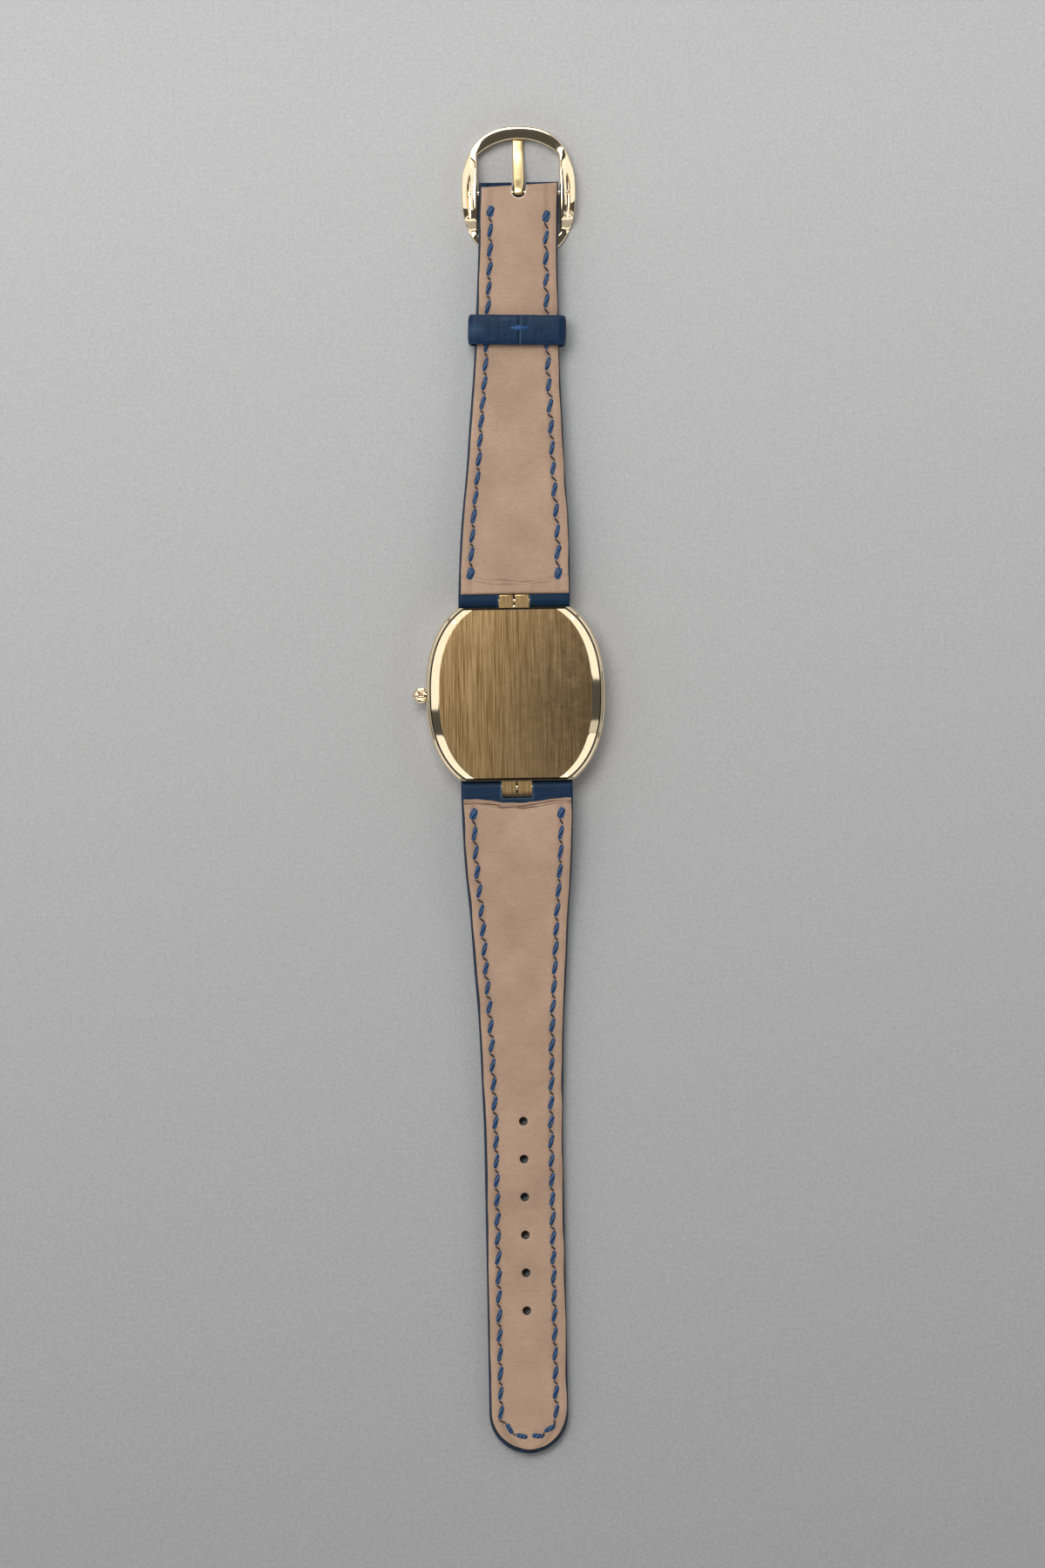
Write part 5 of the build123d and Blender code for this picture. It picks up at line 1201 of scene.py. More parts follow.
@dataclass
class Strap:
    """One strap half, drawn along its own length from the strap bar. Sizes in millimetres."""

    palette: Palette
    name: str
    end: End
    length: float
    end_width: float
    lean: float
    low_knots: Knots
    high_knots: Knots
    lip: Lip
    left_row: StitchRow
    right_row: StitchRow
    round_tip: bool
    lug_width: float = 19.4
    bar_reach: float = 16.2
    bar_height: float = 3.25
    fold_radius: float = 1.15
    end_fold_radius: float = 0.0
    end_fold_slack: float = 0.6
    end_bar_height: float = 0.0
    lining: float = 0.45
    lining_past: float = 1.2
    lining_past_rise: float = 0.3
    lining_past_run: float = 4.0
    left_inset: float = 0.4
    right_inset: float = 0.24
    least_inset: float = 0.05
    inset_wander: Ripple = Ripple(0.16, 4.4, 1.0, 5.0)
    lining_round: float = 0.12
    lip_round: float = 0.3
    edge_round: float = 0.42
    crown: float = 0.55
    crown_span: Span = (-0.6, 5.0)
    crown_power: float = 1.5
    groove_depth: float = 0.14
    groove_span: Span = (0.3, 1.2)
    valley: Hump = Hump(0.09, 0.45)
    rim_drop: float = 0.2
    rim_span: Span = (0.2, 1.0)
    waves_span: Span = (0.5, 9.0)
    swell: Ripple = Ripple(0.07, 7.7, 6.0, 6.0)
    pucker: Ripple = Ripple(0.025, 2.9, 1.5, 0.8)
    notch_half: float = 2.66
    notch_reach: float = 1.9
    tongue_half: float = 1.22
    tongue_depth: float = 1.25
    lining_tongue_depth: float = -0.2
    rim_width: float = 0.28
    rim_steps: int = 5
    slot_steps: int = 14
    fold_steps: int = 8
    fold_span: Span = (2.0, 3.0)
    fold_relief: float = 0.8
    worn: Hump = Hump(1.0, 0.22)
    worn_run: float = 0.3
    worn_past: float = 0.5
    paint_lap: float = 0.05
    row_shade: Hump = Hump(0.22, 0.5)
    lip_shade: Hump = Hump(0.3, 0.35)
    slot_pale_rim: Hump = Hump(0.9, 0.14)
    thread_inset: float = 2.05
    thread_length: float = 2.75
    thread_width: float = 0.8
    thread_height: float = 0.2
    thread_slant: float = 17.0
    slant_range: Span = (0.8, 1.15)
    reach_range: Span = (0.95, 1.04)
    girth_range: Span = (0.92, 1.06)
    most_girth: float = 1.2
    thread_bed: float = 0.02
    thread_seat: float = 0.06
    thread_dive: float = 0.2
    thread_squareness: float = 8.0
    tip_inset: float = 0.7
    edge: float = 0.04
    fine_reach: float = 1.8
    fine_steps: int = 9
    fine_power: float = 1.5
    tip_stitches: tuple[tuple[float, float, float], ...] = (
        (3.4, 4.4, -31.0), (1.3, 3.1, -76.0), (-3.55, 4.3, 60.0), (-1.5, 3.1, 94.0),
    )
    tip_stitch_share: float = 0.8
    end_stitch_girth: float = 1.6
    end_stitch_share: float = 0.78
    link_width: float = 0.3
    link_lift: float = 0.04
    step: float = 0.3
    column: float = 0.26
    taper_knots: Knots = (
        (0, 1), (6, 0.97), (13.5, 0.86), (22.5, 0.6), (31, 0.43), (40, 0.22), (50, 0.1), (62, 0),
    )
    holes: int = 0
    hole_first: float = 58.1
    hole_pitch: float = 6.6
    hole_radius: float = 0.76
    dish: Hump = Hump(0.12, 0.35)
    scales: Scales = Scales()

    def half_width(self, along: float) -> float:
        """Give half of the strap's width.

        Args:
            along: Distance from its bar.

        Returns:
            Half width, which shrinks to nothing at a round tip.
        """
        share = curve_value(self.taper_knots, along)
        half = (self.end_width + (self.lug_width - self.end_width) * share) / 2
        centre = self.length - self.end_width / 2
        if self.round_tip and along > centre:
            half = math.sqrt(max(0.0, (self.end_width / 2) ** 2 - (along - centre) ** 2))
        return half

    def shift(self, along: float) -> float:
        """Give the sideways shift of the strap's middle at a distance from its bar."""
        return -along * math.tan(math.radians(self.lean))

    def placed(self, x: float, along: float, z: float) -> Vector:
        """Turn a place on the strap into one in the shared frame."""
        return Vector((self.end * (x + self.shift(along)), self.end * (self.bar_reach + along), z))

    def on_strap(self, place: Vector) -> Span:
        """Give the place across and along the strap of a place in the shared frame."""
        along = self.end * place.y - self.bar_reach
        return self.end * place.x - self.shift(along), along

    def edge_distance(self, x: float, along: float) -> float:
        """Give the distance to the nearest side or rounded end."""
        side = self.half_width(along) - abs(x)
        return min(side, self.length - along) if self.round_tip else side

    def joint(self, along: float) -> float:
        """Give the height at which the leather and the lining meet."""
        return curve_value(self.high_knots, along)

    def bottom(self, x: float, along: float) -> float:
        """Give the height of the outer leather's face, crowned and scaled.

        Args:
            x: Place across the strap.
            along: Place along the strap.

        Returns:
            Height in the shared frame.
        """
        low, high = curve_value(self.low_knots, along), self.joint(along)
        distance = max(0.0, self.edge_distance(x, along))
        rise = self.crown * (high - low) * (1 - ease(distance, *self.crown_span)) ** self.crown_power
        groove = self.groove_depth * (1 - self.relief(x, along)) * ease(distance, *self.groove_span)
        return low + rise + groove

    def relief(self, x: float, along: float) -> float:
        """Give the scales' relief, from 0 in a groove to 1 on a scale."""
        return self.scales.relief(x, along, max(1.0, self.half_width(along)))

    def lip_place(self, x: float) -> float:
        """Give the distance from the bar at which the lining starts."""
        sag = self.lip.sag * (1 - ease(abs(x), self.lip.sag_flat, self.lug_width / 2 - self.lip.sag_margin))
        return self.lip.start + sag + self.lip.wander.at(x, 0.0, self.end)

    def creased(self, x: float, along: float) -> float:
        """Give how deep a place is in the creases behind the lip.

        Args:
            x: Place across the strap.
            along: Place along the strap.

        Returns:
            Share of a crease's full depth.
        """
        lip = self.lip
        start, depth = self.lip_place(x), 0.0
        for index, place in enumerate(lip.creases):
            wander = lip.crease_wander.at(x, 0.0, lip.crease_seed_step * index + self.end)
            full = ease(lip.crease_fade.at(x, 0.0, index), *lip.crease_fade_span)
            fade = lip.crease_least + (1 - lip.crease_least) * full
            arc = lip.crease_arc * (2 * x / self.lug_width) ** 2
            depth = max(depth, fade * lip.crease.at(along - start - place - arc - wander))
        return depth

    def lifted(self, x: float, along: float) -> float:
        """Give how far the lining rides up over the lug and curls at its lip.

        Args:
            x: Place across the strap.
            along: Place along the strap.

        Returns:
            Rise above its place on the leather.
        """
        lip = self.lip
        near, far = (self.notch_half + part for part in lip.clear_span)
        clear = 1 - ease(abs(x), near, far)
        run = 1 - ease(along, lip.start + lip.lift_flat, lip.start + lip.lift_run)
        place = self.lip_place(x)
        curl = lip.curl_mean + lip.curl_waves.at(x, 0.0, self.end)
        return lip.lift * clear * run + lip.curl * curl * (1 - ease(along, place, place + lip.curl_run))

    def top(self, x: float, along: float) -> float:
        """Give the height of the lining's face, with its stitch valley, ripples and dished holes.

        Args:
            x: Place across the strap.
            along: Place along the strap.

        Returns:
            Height in the shared frame.
        """
        z = self.joint(along) + self.lining + self.lifted(x, along)
        distance = self.half_width(along) - abs(x)
        z -= self.valley.at(distance - self.thread_inset)
        z -= self.rim_drop * (1 - ease(distance, *self.rim_span))
        if self.round_tip:
            z -= self.rim_drop * (1 - ease(self.length - along, *self.rim_span))
        near = 1 - ease(along, *(self.lip.start + part for part in self.waves_span))
        z += near * self.lip.waves.at(x, along)
        z += self.swell.at(x, along) + self.pucker.at(x, along)
        z -= self.lip.crease_depth * self.creased(x, along)
        for index in range(self.holes):
            gap = math.hypot(x, along - self.hole_first - index * self.hole_pitch) - self.hole_radius
            z -= self.dish.at(max(0.0, gap))
        return z

    def slot_distance(self, x: float, along: float, depth: float) -> float:
        """Give the distance from the wall of the tongue's slot, below zero inside it."""
        return math.hypot(x, min(0.0, along - self.length + depth)) - self.tongue_half

    def columns(self, rounding: float) -> list[tuple[float, float, float, bool]]:
        """List the strap's columns as width share, bulge, thickness share and whether the lug notches them.

        Args:
            rounding: Radius of the piece's rounded edge.

        Returns:
            Columns from one edge to the other.
        """
        notch = self.notch_half / (self.lug_width / 2 - rounding)
        beside = 1.0001
        shares = [(share, abs(share) < notch) for share in spread(-1, 1, round(self.lug_width / self.column))]
        shares += [(side * notch, True) for side in (-1, 1)]
        shares += [(side * notch * beside, False) for side in (-1, 1)]
        if not self.round_tip:
            slot = self.tongue_half / (self.end_width / 2 - rounding)
            angles = spread(-math.pi / 2, math.pi / 2, self.slot_steps)
            shares += [(slot * math.sin(angle), True) for angle in angles]
            outer = (beside, 1 + self.rim_width / self.tongue_half / 2, 1 + self.rim_width / self.tongue_half)
            shares += [(side * slot * share, True) for side in (-1, 1) for share in outer]
        rows = [(share, 0.0, 1.0, inside) for share, inside in sorted(shares)]
        turns = spread(0, math.pi / 2, self.rim_steps)[1:]
        rim = [(1.0, rounding * math.sin(turn), math.cos(turn), False) for turn in turns]
        return [(-s, -b, t, inside) for s, b, t, inside in reversed(rim)] + rows + rim

    def shell(
        self, run: Run, inset: Face, rounding: float, pole: float, notched: bool
    ) -> Mesh:
        """Loft a closed shell across the strap from two runs of points along it.

        Args:
            run: Distance from the bar, and the low and high face as functions of the place across and along.
            inset: Distance from the strap's edge, as a function of the side and the place along.
            rounding: Radius of its rounded edge.
            pole: Distance at which the round tip's pole is.
            notched: Whether the shell is the leather, cut out round the lug, or else the lining.

        Returns:
            The shell in the shared frame, in millimetres.
        """
        loops = []
        first, last = run[0][0], run[-1][0]
        for share, bulge, thickness, inside in self.columns(rounding):
            side = math.copysign(1.0, share)
            low_points, high_points = [], []
            for along, low, high in run:
                reach = self.half_width(min(along, pole)) - inset(side, along) - rounding
                half = max(0.0, reach)
                shrink = 1.0 if half > rounding else half / rounding
                x = share * half + bulge * shrink
                place = along
                if notched:
                    place = max(place, self.notch_reach) if inside and abs(x) < self.lug_width / 3 else place
                else:
                    place += (self.lip_place(x) - first) * (1 - ease(along, first, first + self.lip.fine_run))
                if not self.round_tip:
                    if not notched:
                        past = ease(along, last - self.lining_past_run, last)
                        place += self.lining_past_rise * x / half * past
                    if abs(x) < self.tongue_half:
                        arc = math.sqrt(self.tongue_half ** 2 - x ** 2)
                        depth = self.tongue_depth if notched else self.lining_tongue_depth
                        place = min(place, self.length - depth - arc)
                bottom, top = low(x, place), high(x, place)
                middle, rise = (bottom + top) / 2, (top - bottom) / 2 * thickness
                low_points.append(self.placed(x, place, middle - rise))
                high_points.append(self.placed(x, place, middle + rise))
            loops.append(low_points + high_points[::-1])
        bm = bmesh.new()
        loft(bm, loops)
        return bm

    def leather_run(self) -> Run:
        """List the outer leather's stations from the fold round the bar to its far end.

        Returns:
            Distance from the bar, and the low and high face as functions of the place.
        """
        run: Run = []
        arc = spread(0, math.pi / 2, self.fold_steps)
        for angle in arc[:-1]:
            rise = self.fold_radius * math.sin(angle)
            low, high = self.bar_height - rise, self.bar_height + rise
            run.append((-self.fold_radius * math.cos(angle), lambda x, a, z=low: z, lambda x, a, z=high: z))
        flat_end = self.length + (self.end_fold_slack if self.end_fold_radius else 0.0)
        for along in self.fine_end(spread(0, flat_end, round(flat_end / self.step))):
            run.append((along, self.bottom, lambda x, a: self.joint(a)))
        if self.end_fold_radius:
            for angle in arc[::-1][1:]:
                rise = self.end_fold_radius * math.sin(angle)
                low, high = self.end_bar_height - rise, self.end_bar_height + rise
                along = flat_end + self.end_fold_radius * math.cos(angle)
                run.append((along, lambda x, a, z=low: z, lambda x, a, z=high: z))
        return run

    def build_leather(self) -> None:
        """Build the scaled outer leather with its fold, painted edges and worn corners."""
        bm = self.shell(self.leather_run(), lambda side, along: 0.0, self.edge_round, self.length, True)
        relief = bm.verts.layers.float.new("relief")
        worn = bm.verts.layers.float.new("worn")
        for vert in bm.verts:
            x, along = self.on_strap(vert.co)
            vert[relief] = self.relief(x, along)
            vert[relief] += (self.fold_relief - vert[relief]) * (1 - ease(along, *self.fold_span))
            corner = max(abs(x) - self.notch_half, along - self.notch_reach)
            near = 1 - ease(along, self.notch_reach, self.notch_reach + self.worn_run)
            beside = abs(x) < self.notch_half + self.worn_past
            vert[worn] = self.worn.at(corner) * near * beside
        bm.normal_update()
        for face in bm.faces:
            middle = face.calc_center_median()
            x, along = self.on_strap(middle)
            at_joint = middle.z > self.joint(along) - self.paint_lap
            rim = self.edge_distance(x, along) < self.edge_round or at_joint
            face.material_index = Skin.EDGE if rim and along > self.lip.start + self.lip.sag else Skin.FACE
        materials = [self.palette.slots["blue_alligator"], self.palette.edge_paint]
        piece = finish_mesh(bm, self.name + "_leather", materials, sharp=50.0)
        self.punch(piece)
        install(piece, self.name, "blue_alligator", self.name + "_outer", self.name + "_padding")

    def lining_inset(self, side: float, along: float) -> float:
        """Give how far the lining's edge lies inside the strap's, which wanders a little.

        Args:
            side: Sign of the edge's place across.
            along: Place along the strap.

        Returns:
            Distance between the two edges.
        """
        base = self.left_inset if side * self.end < 0 else self.right_inset
        inset = max(self.least_inset, base + self.inset_wander.at(0.0, along, side))
        if self.round_tip:
            inset += self.half_width(along) - self.half_width(min(self.length, along + self.tip_inset))
        return inset

    def fine_end(self, places: list[float]) -> list[float]:
        """Set the last places ever closer together if the end is round, so that its curve stays smooth.

        Args:
            places: Evenly spaced places along the strap.

        Returns:
            The places, with those at a round end set anew.
        """
        if not self.round_tip:
            return places
        last = places[-1]
        kept = [place for place in places if place < last - self.fine_reach]
        shares = spread(0, 1, self.fine_steps)
        return kept + [last - self.fine_reach * (1 - share) ** self.fine_power for share in shares]

    def build_lining(self) -> None:
        """Build the calf lining on top of the leather."""
        start = self.lip.start
        past = -self.tip_inset - self.edge if self.round_tip else self.lining_past
        finish = self.length + past
        fine = start + self.lip.fine_run
        places = spread(start, fine, round(self.lip.fine_run / self.lip.fine_step))
        places += spread(fine, finish, round((finish - fine) / self.step))[1:]
        places = self.fine_end(places)
        run: Run = []
        for along in places:
            gap = along - start if self.round_tip else min(along - start, finish - along)
            full = math.sqrt(1 - (1 - min(1.0, gap / self.lip_round)) ** 2)

            def low(x: float, a: float) -> float:
                """Give the lining's underside."""
                return self.joint(a) + self.lifted(x, a)

            def high(x: float, a: float, full: float = full) -> float:
                """Give the lining's face, rounded off at its ends."""
                return low(x, a) + (self.top(x, a) - low(x, a)) * full

            run.append((along, low, high))
        bm = self.shell(run, self.lining_inset, self.lining_round, finish, False)
        shade = bm.verts.layers.float.new("shade")
        for vert in bm.verts:
            x, along = self.on_strap(vert.co)
            inside = self.half_width(along) - abs(x)
            # The shade attribute paints shade along the stitch rows, under the lip and in the creases behind
            # it
            row = self.row_shade.at(inside - self.thread_inset)
            lip = self.lip_shade.at(along - self.lip_place(x))
            amount = max(row, lip, self.lip.crease_shade * self.creased(x, along))
            # A pale rim round the tongue's slot lightens the lining
            if not self.round_tip:
                amount -= self.slot_pale_rim.at(self.slot_distance(x, along, self.lining_tongue_depth))
            vert[shade] = amount
        piece = finish_mesh(bm, self.name + "_calf", [self.palette.slots["tan_calf"]], sharp=50.0)
        self.punch(piece)
        install(piece, self.name, "tan_calf", self.name + "_lining")

    def punch(self, piece: Piece) -> None:
        """Cut the adjusting holes, if the strap has any.

        Args:
            piece: Leather or lining to cut.
        """
        if not self.holes:
            return
        below, above = Vector((0, 0, -2)), Vector((0, 0, 6))
        cutter = bmesh.new()
        for index in range(self.holes):
            place = self.placed(0, self.hole_first + index * self.hole_pitch, 0)
            round_bar(cutter, self.hole_radius, place + below, place + above)
        carve(piece, cutter)

    def build_thread(self) -> None:
        """Sew both rows of stitches and the thin dark links between them."""
        rng = random.Random(self.length)
        bm = bmesh.new()
        links: list[tuple[Vector, Vector]] = []
        for side in (1, -1):
            last: Vector | None = None
            places = self.stitch_places(side)
            for index, (x, along, turn) in enumerate(places):
                slant = math.radians(self.thread_slant * rng.uniform(*self.slant_range) + turn)
                reach = self.thread_length / 2 * rng.uniform(*self.reach_range)
                girth = rng.uniform(*self.girth_range)
                if turn:
                    reach *= self.tip_stitch_share
                if index == 0 or (index == len(places) - 1 and not self.round_tip):
                    girth, reach = self.end_stitch_girth, reach * self.end_stitch_share
                self.stitch(bm, x, along, slant, reach, girth)
                lean = Vector((math.sin(slant), math.cos(slant))) * reach
                if last is not None:
                    links.append((last, Vector((x, along)) - lean))
                last = Vector((x, along)) + lean
        dark = len(bm.faces)
        for first, second in links:
            self.link(bm, first, second)
        bm.faces.ensure_lookup_table()
        for index, face in enumerate(bm.faces):
            face.material_index = 1 if index >= dark else 0
        materials = [self.palette.slots["blue_thread"], self.palette.thread_shadow]
        piece = finish_mesh(bm, self.name + "_stitches", materials, sharp=60.0)
        install(piece, self.name, "blue_thread", self.name + "_thread")

    def stitch_places(self, side: int) -> list[tuple[float, float, float]]:
        """List one row's stitches.

        Args:
            side: Sign of the row's place across.

        Returns:
            Place across, place along and extra turn in degrees of each stitch.
        """
        row = self.right_row if side * self.end > 0 else self.left_row
        places = []
        for index in range(row.count):
            along = row.first + index * row.pitch
            places.append((side * (self.half_width(along) - self.thread_inset), along, 0.0))
        for across, back, turn in self.tip_stitches if self.round_tip else ():
            if across * side > 0:
                places.append((across, self.length - back, turn - self.thread_slant))
        return places

    def stitch(
        self, bm: Mesh, x: float, along: float, slant: float, reach: float, girth: float
    ) -> None:
        """Add one plump stitch with blunt ends that dive into the lining.

        Args:
            bm: Mesh that receives it.
            x: Place across the strap.
            along: Place along the strap.
            slant: Turn from the strap's length, in radians.
            reach: Half of its length.
            girth: Share of the usual width.
        """
        half = self.thread_width / 2 * girth
        centre = self.placed(x, along, self.top(x, along) + self.thread_bed)
        slope = self.top(x, along + 0.5) - self.top(x, along - 0.5)
        height = self.thread_height * min(girth, self.most_girth)
        for vert in bmesh.ops.create_uvsphere(bm, u_segments=8, v_segments=8, radius=1.0)["verts"]:
            ring = math.hypot(vert.co.x, vert.co.y) or 1.0
            s = blunt(vert.co.z, 0.5)
            fullness = math.sqrt(max(0.0, 1 - abs(s) ** self.thread_squareness))
            across, rise = vert.co.x / ring * fullness, vert.co.y / ring * fullness
            px, py = across * half, s * reach
            pz = self.thread_seat + rise * height - self.thread_dive * s * s
            gx = px * math.cos(slant) + py * math.sin(slant)
            gy = py * math.cos(slant) - px * math.sin(slant)
            vert.co = centre + Vector((gx, gy, pz + gy * slope * self.end))

    def link(self, bm: Mesh, first: Vector, second: Vector) -> None:
        """Add the thin shadowed thread from one stitch's end to the next one's start.

        Args:
            bm: Mesh that receives it.
            first: Place across and along of the first stitch's end.
            second: Place across and along of the second stitch's start.
        """
        start, finish = (self.placed(p.x, p.y, self.top(p.x, p.y) + self.link_lift) for p in (first, second))
        axis = finish - start
        turn = Vector((0, 0, 1)).rotation_difference(axis).to_matrix().to_4x4()
        size = Matrix.Diagonal((self.link_width / 2, self.link_width / 2, axis.length / 2, 1.0))
        place = Matrix.Translation((start + finish) / 2) @ turn @ size
        bmesh.ops.create_uvsphere(bm, u_segments=6, v_segments=6, radius=1.0, matrix=place)

    def build(self) -> None:
        """Build the half's leather, lining and thread."""
        self.build_leather()
        self.build_lining()
        self.build_thread()


@dataclass
class Keeper:
    """Free loop of alligator leather with a stitched butt seam. Sizes in millimetres."""

    palette: Palette
    thickness: float = 0.9
    corner: float = 0.95
    lean: float = -1.5
    width: float = 5.2
    steps: int = 220
    section_steps: int = 40
    side_roundness: float = 0.35
    face_roundness: float = 0.6
    edge_thinning: float = 0.25
    edge_wave: Ripple = Ripple(0.05, 0.0, 2.0, 1.0)
    edge_wave_row: float = 4.1
    dents: Ripple = Ripple(0.08, 0.0, 0.9, 2.4)
    dent_turn: float = 1.4
    seam_x: float = 0.4
    seam: Hump = Hump(0.14, 0.12)
    seam_dark: Hump = Hump(0.8, 0.24)
    grain: Ripple = Ripple(1.0, 0.3, 2.6, 0.35)
    grain_span: Span = (-0.5, 0.1)
    grain_least: float = 0.55
    scuffs: Ripple = Ripple(1.0, 6.2, 3.4, 0.3)
    scuff_span: Span = (0.2, 0.8)
    scuff_share: float = 0.5
    seam_rub: Hump = Hump(0.8, 0.1)
    seam_rub_shift: float = 0.12
    stitch_half: Span = (1.9, 0.5)
    stitch_rise: float = 0.24
    stitch_offset: float = 0.3
    stitch_sink: float = 0.04
    stitch_power: float = 1.5

    def build(self) -> None:
        """Build the loop between the heights that the frame gives."""
        low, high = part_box("strap_keeper")
        turn = math.radians(self.lean)
        middle = (low + high) / 2 / MM
        across = (high.x - low.x) / MM / math.cos(turn) - self.width * abs(math.sin(turn))
        half, rise = across / 2 - self.thickness / 2, (high.z - low.z) / MM / 2 - self.thickness / 2
        spin = Matrix.Rotation(turn, 3, "Z")
        loops = []
        for x, z, nx, nz in self.path(half, rise, self.corner):
            loop = []
            for step in range(self.section_steps):
                angle = math.tau * step / self.section_steps
                u = blunt(math.cos(angle), self.side_roundness) * self.width / 2
                w = blunt(math.sin(angle), self.face_roundness) * self.thickness / 2
                out = w * (1 - self.edge_thinning * (abs(u) / (self.width / 2)) ** 3)
                if w > 0:
                    out += min(0.0, self.dents.at(x, u, z / self.dent_turn))
                    if nz > 0:
                        out -= self.seam.at(x - self.seam_x)
                ragged = u + self.edge_wave.at(x, self.edge_wave_row, u)
                loop.append(spin @ Vector((x + nx * out, ragged, z + nz * out)) + middle)
            loops.append(loop)
        bm = bmesh.new()
        loft(bm, loops, ring=True)
        relief = bm.verts.layers.float.new("relief")
        worn = bm.verts.layers.float.new("worn")
        for vert in bm.verts:
            spot = vert.co - middle
            seam = 1 - self.seam_dark.at(spot.x - self.seam_x)
            grain = ease(self.grain.at(spot.x, spot.y), *self.grain_span)
            vert[relief] = seam * (self.grain_least + (1 - self.grain_least) * grain)
            scuffed = self.scuff_share * ease(self.scuffs.at(spot.x, spot.y), *self.scuff_span)
            rubbed = self.seam_rub.at(spot.x - self.seam_x - self.seam_rub_shift)
            vert[worn] = max(rubbed, scuffed) * (spot.z > 0)
        self.add_stitch(bm, middle, rise)
        materials = [self.palette.slots["blue_alligator"], self.palette.pressed_thread]
        piece = finish_mesh(bm, "keeper_loop", materials, sharp=60.0)
        install(piece, "keeper", "blue_alligator", "strap_keeper")

    def path(self, half: float, rise: float, radius: float) -> list[tuple[float, float, float, float]]:
        """List places and outward directions round a rounded rectangle.

        Args:
            half: Half of its width.
            rise: Half of its height.
            radius: Radius of its corners.

        Returns:
            Place and outward direction of each step.
        """
        straights = (2 * (half - radius), 2 * (rise - radius))
        arc = math.pi / 2 * radius
        total = 2 * sum(straights) + 4 * arc
        places = []
        for index in range(self.steps):
            s, quarter = total * index / self.steps, 0
            while s > straights[quarter % 2] + arc and quarter < 3:
                s -= straights[quarter % 2] + arc
                quarter += 1
            straight, reach = straights[quarter % 2], (rise, half)[quarter % 2]
            base = math.pi / 2 * (1 - quarter)
            nx, nz = math.cos(base), math.sin(base)
            run = min(s, straight) - straight / 2
            if s <= straight:
                places.append((nx * reach + nz * run, nz * reach - nx * run, nx, nz))
                continue
            angle = base - (s - straight) / radius
            cx, cz = nx * (reach - radius) + nz * straight / 2, nz * (reach - radius) - nx * straight / 2
            c, s = math.cos(angle), math.sin(angle)
            places.append((cx + radius * c, cz + radius * s, c, s))
        return places

    def add_stitch(self, bm: Mesh, middle: Vector, rise: float) -> None:
        """Add the lens-shaped stitch that draws the butt seam together.

        Args:
            bm: Mesh that receives it.
            middle: Middle of the loop.
            rise: Half of the height of the leather's middle line.
        """
        start = len(bm.faces)
        top = rise + self.thickness / 2 - self.stitch_sink
        half_x, half_y = self.stitch_half
        for vert in bmesh.ops.create_uvsphere(bm, u_segments=12, v_segments=14, radius=1.0)["verts"]:
            s, a, b = vert.co.z, vert.co.x, vert.co.y
            lens = 1 - abs(s) ** self.stitch_power
            spot = Vector((self.seam_x + s * half_x, a * half_y * lens, top + b * self.stitch_rise * lens))
            vert.co = middle + spot + Vector((0, self.stitch_offset, 0))
        bm.faces.ensure_lookup_table()
        for index in range(start, len(bm.faces)):
            bm.faces[index].material_index = 1


# The buckle

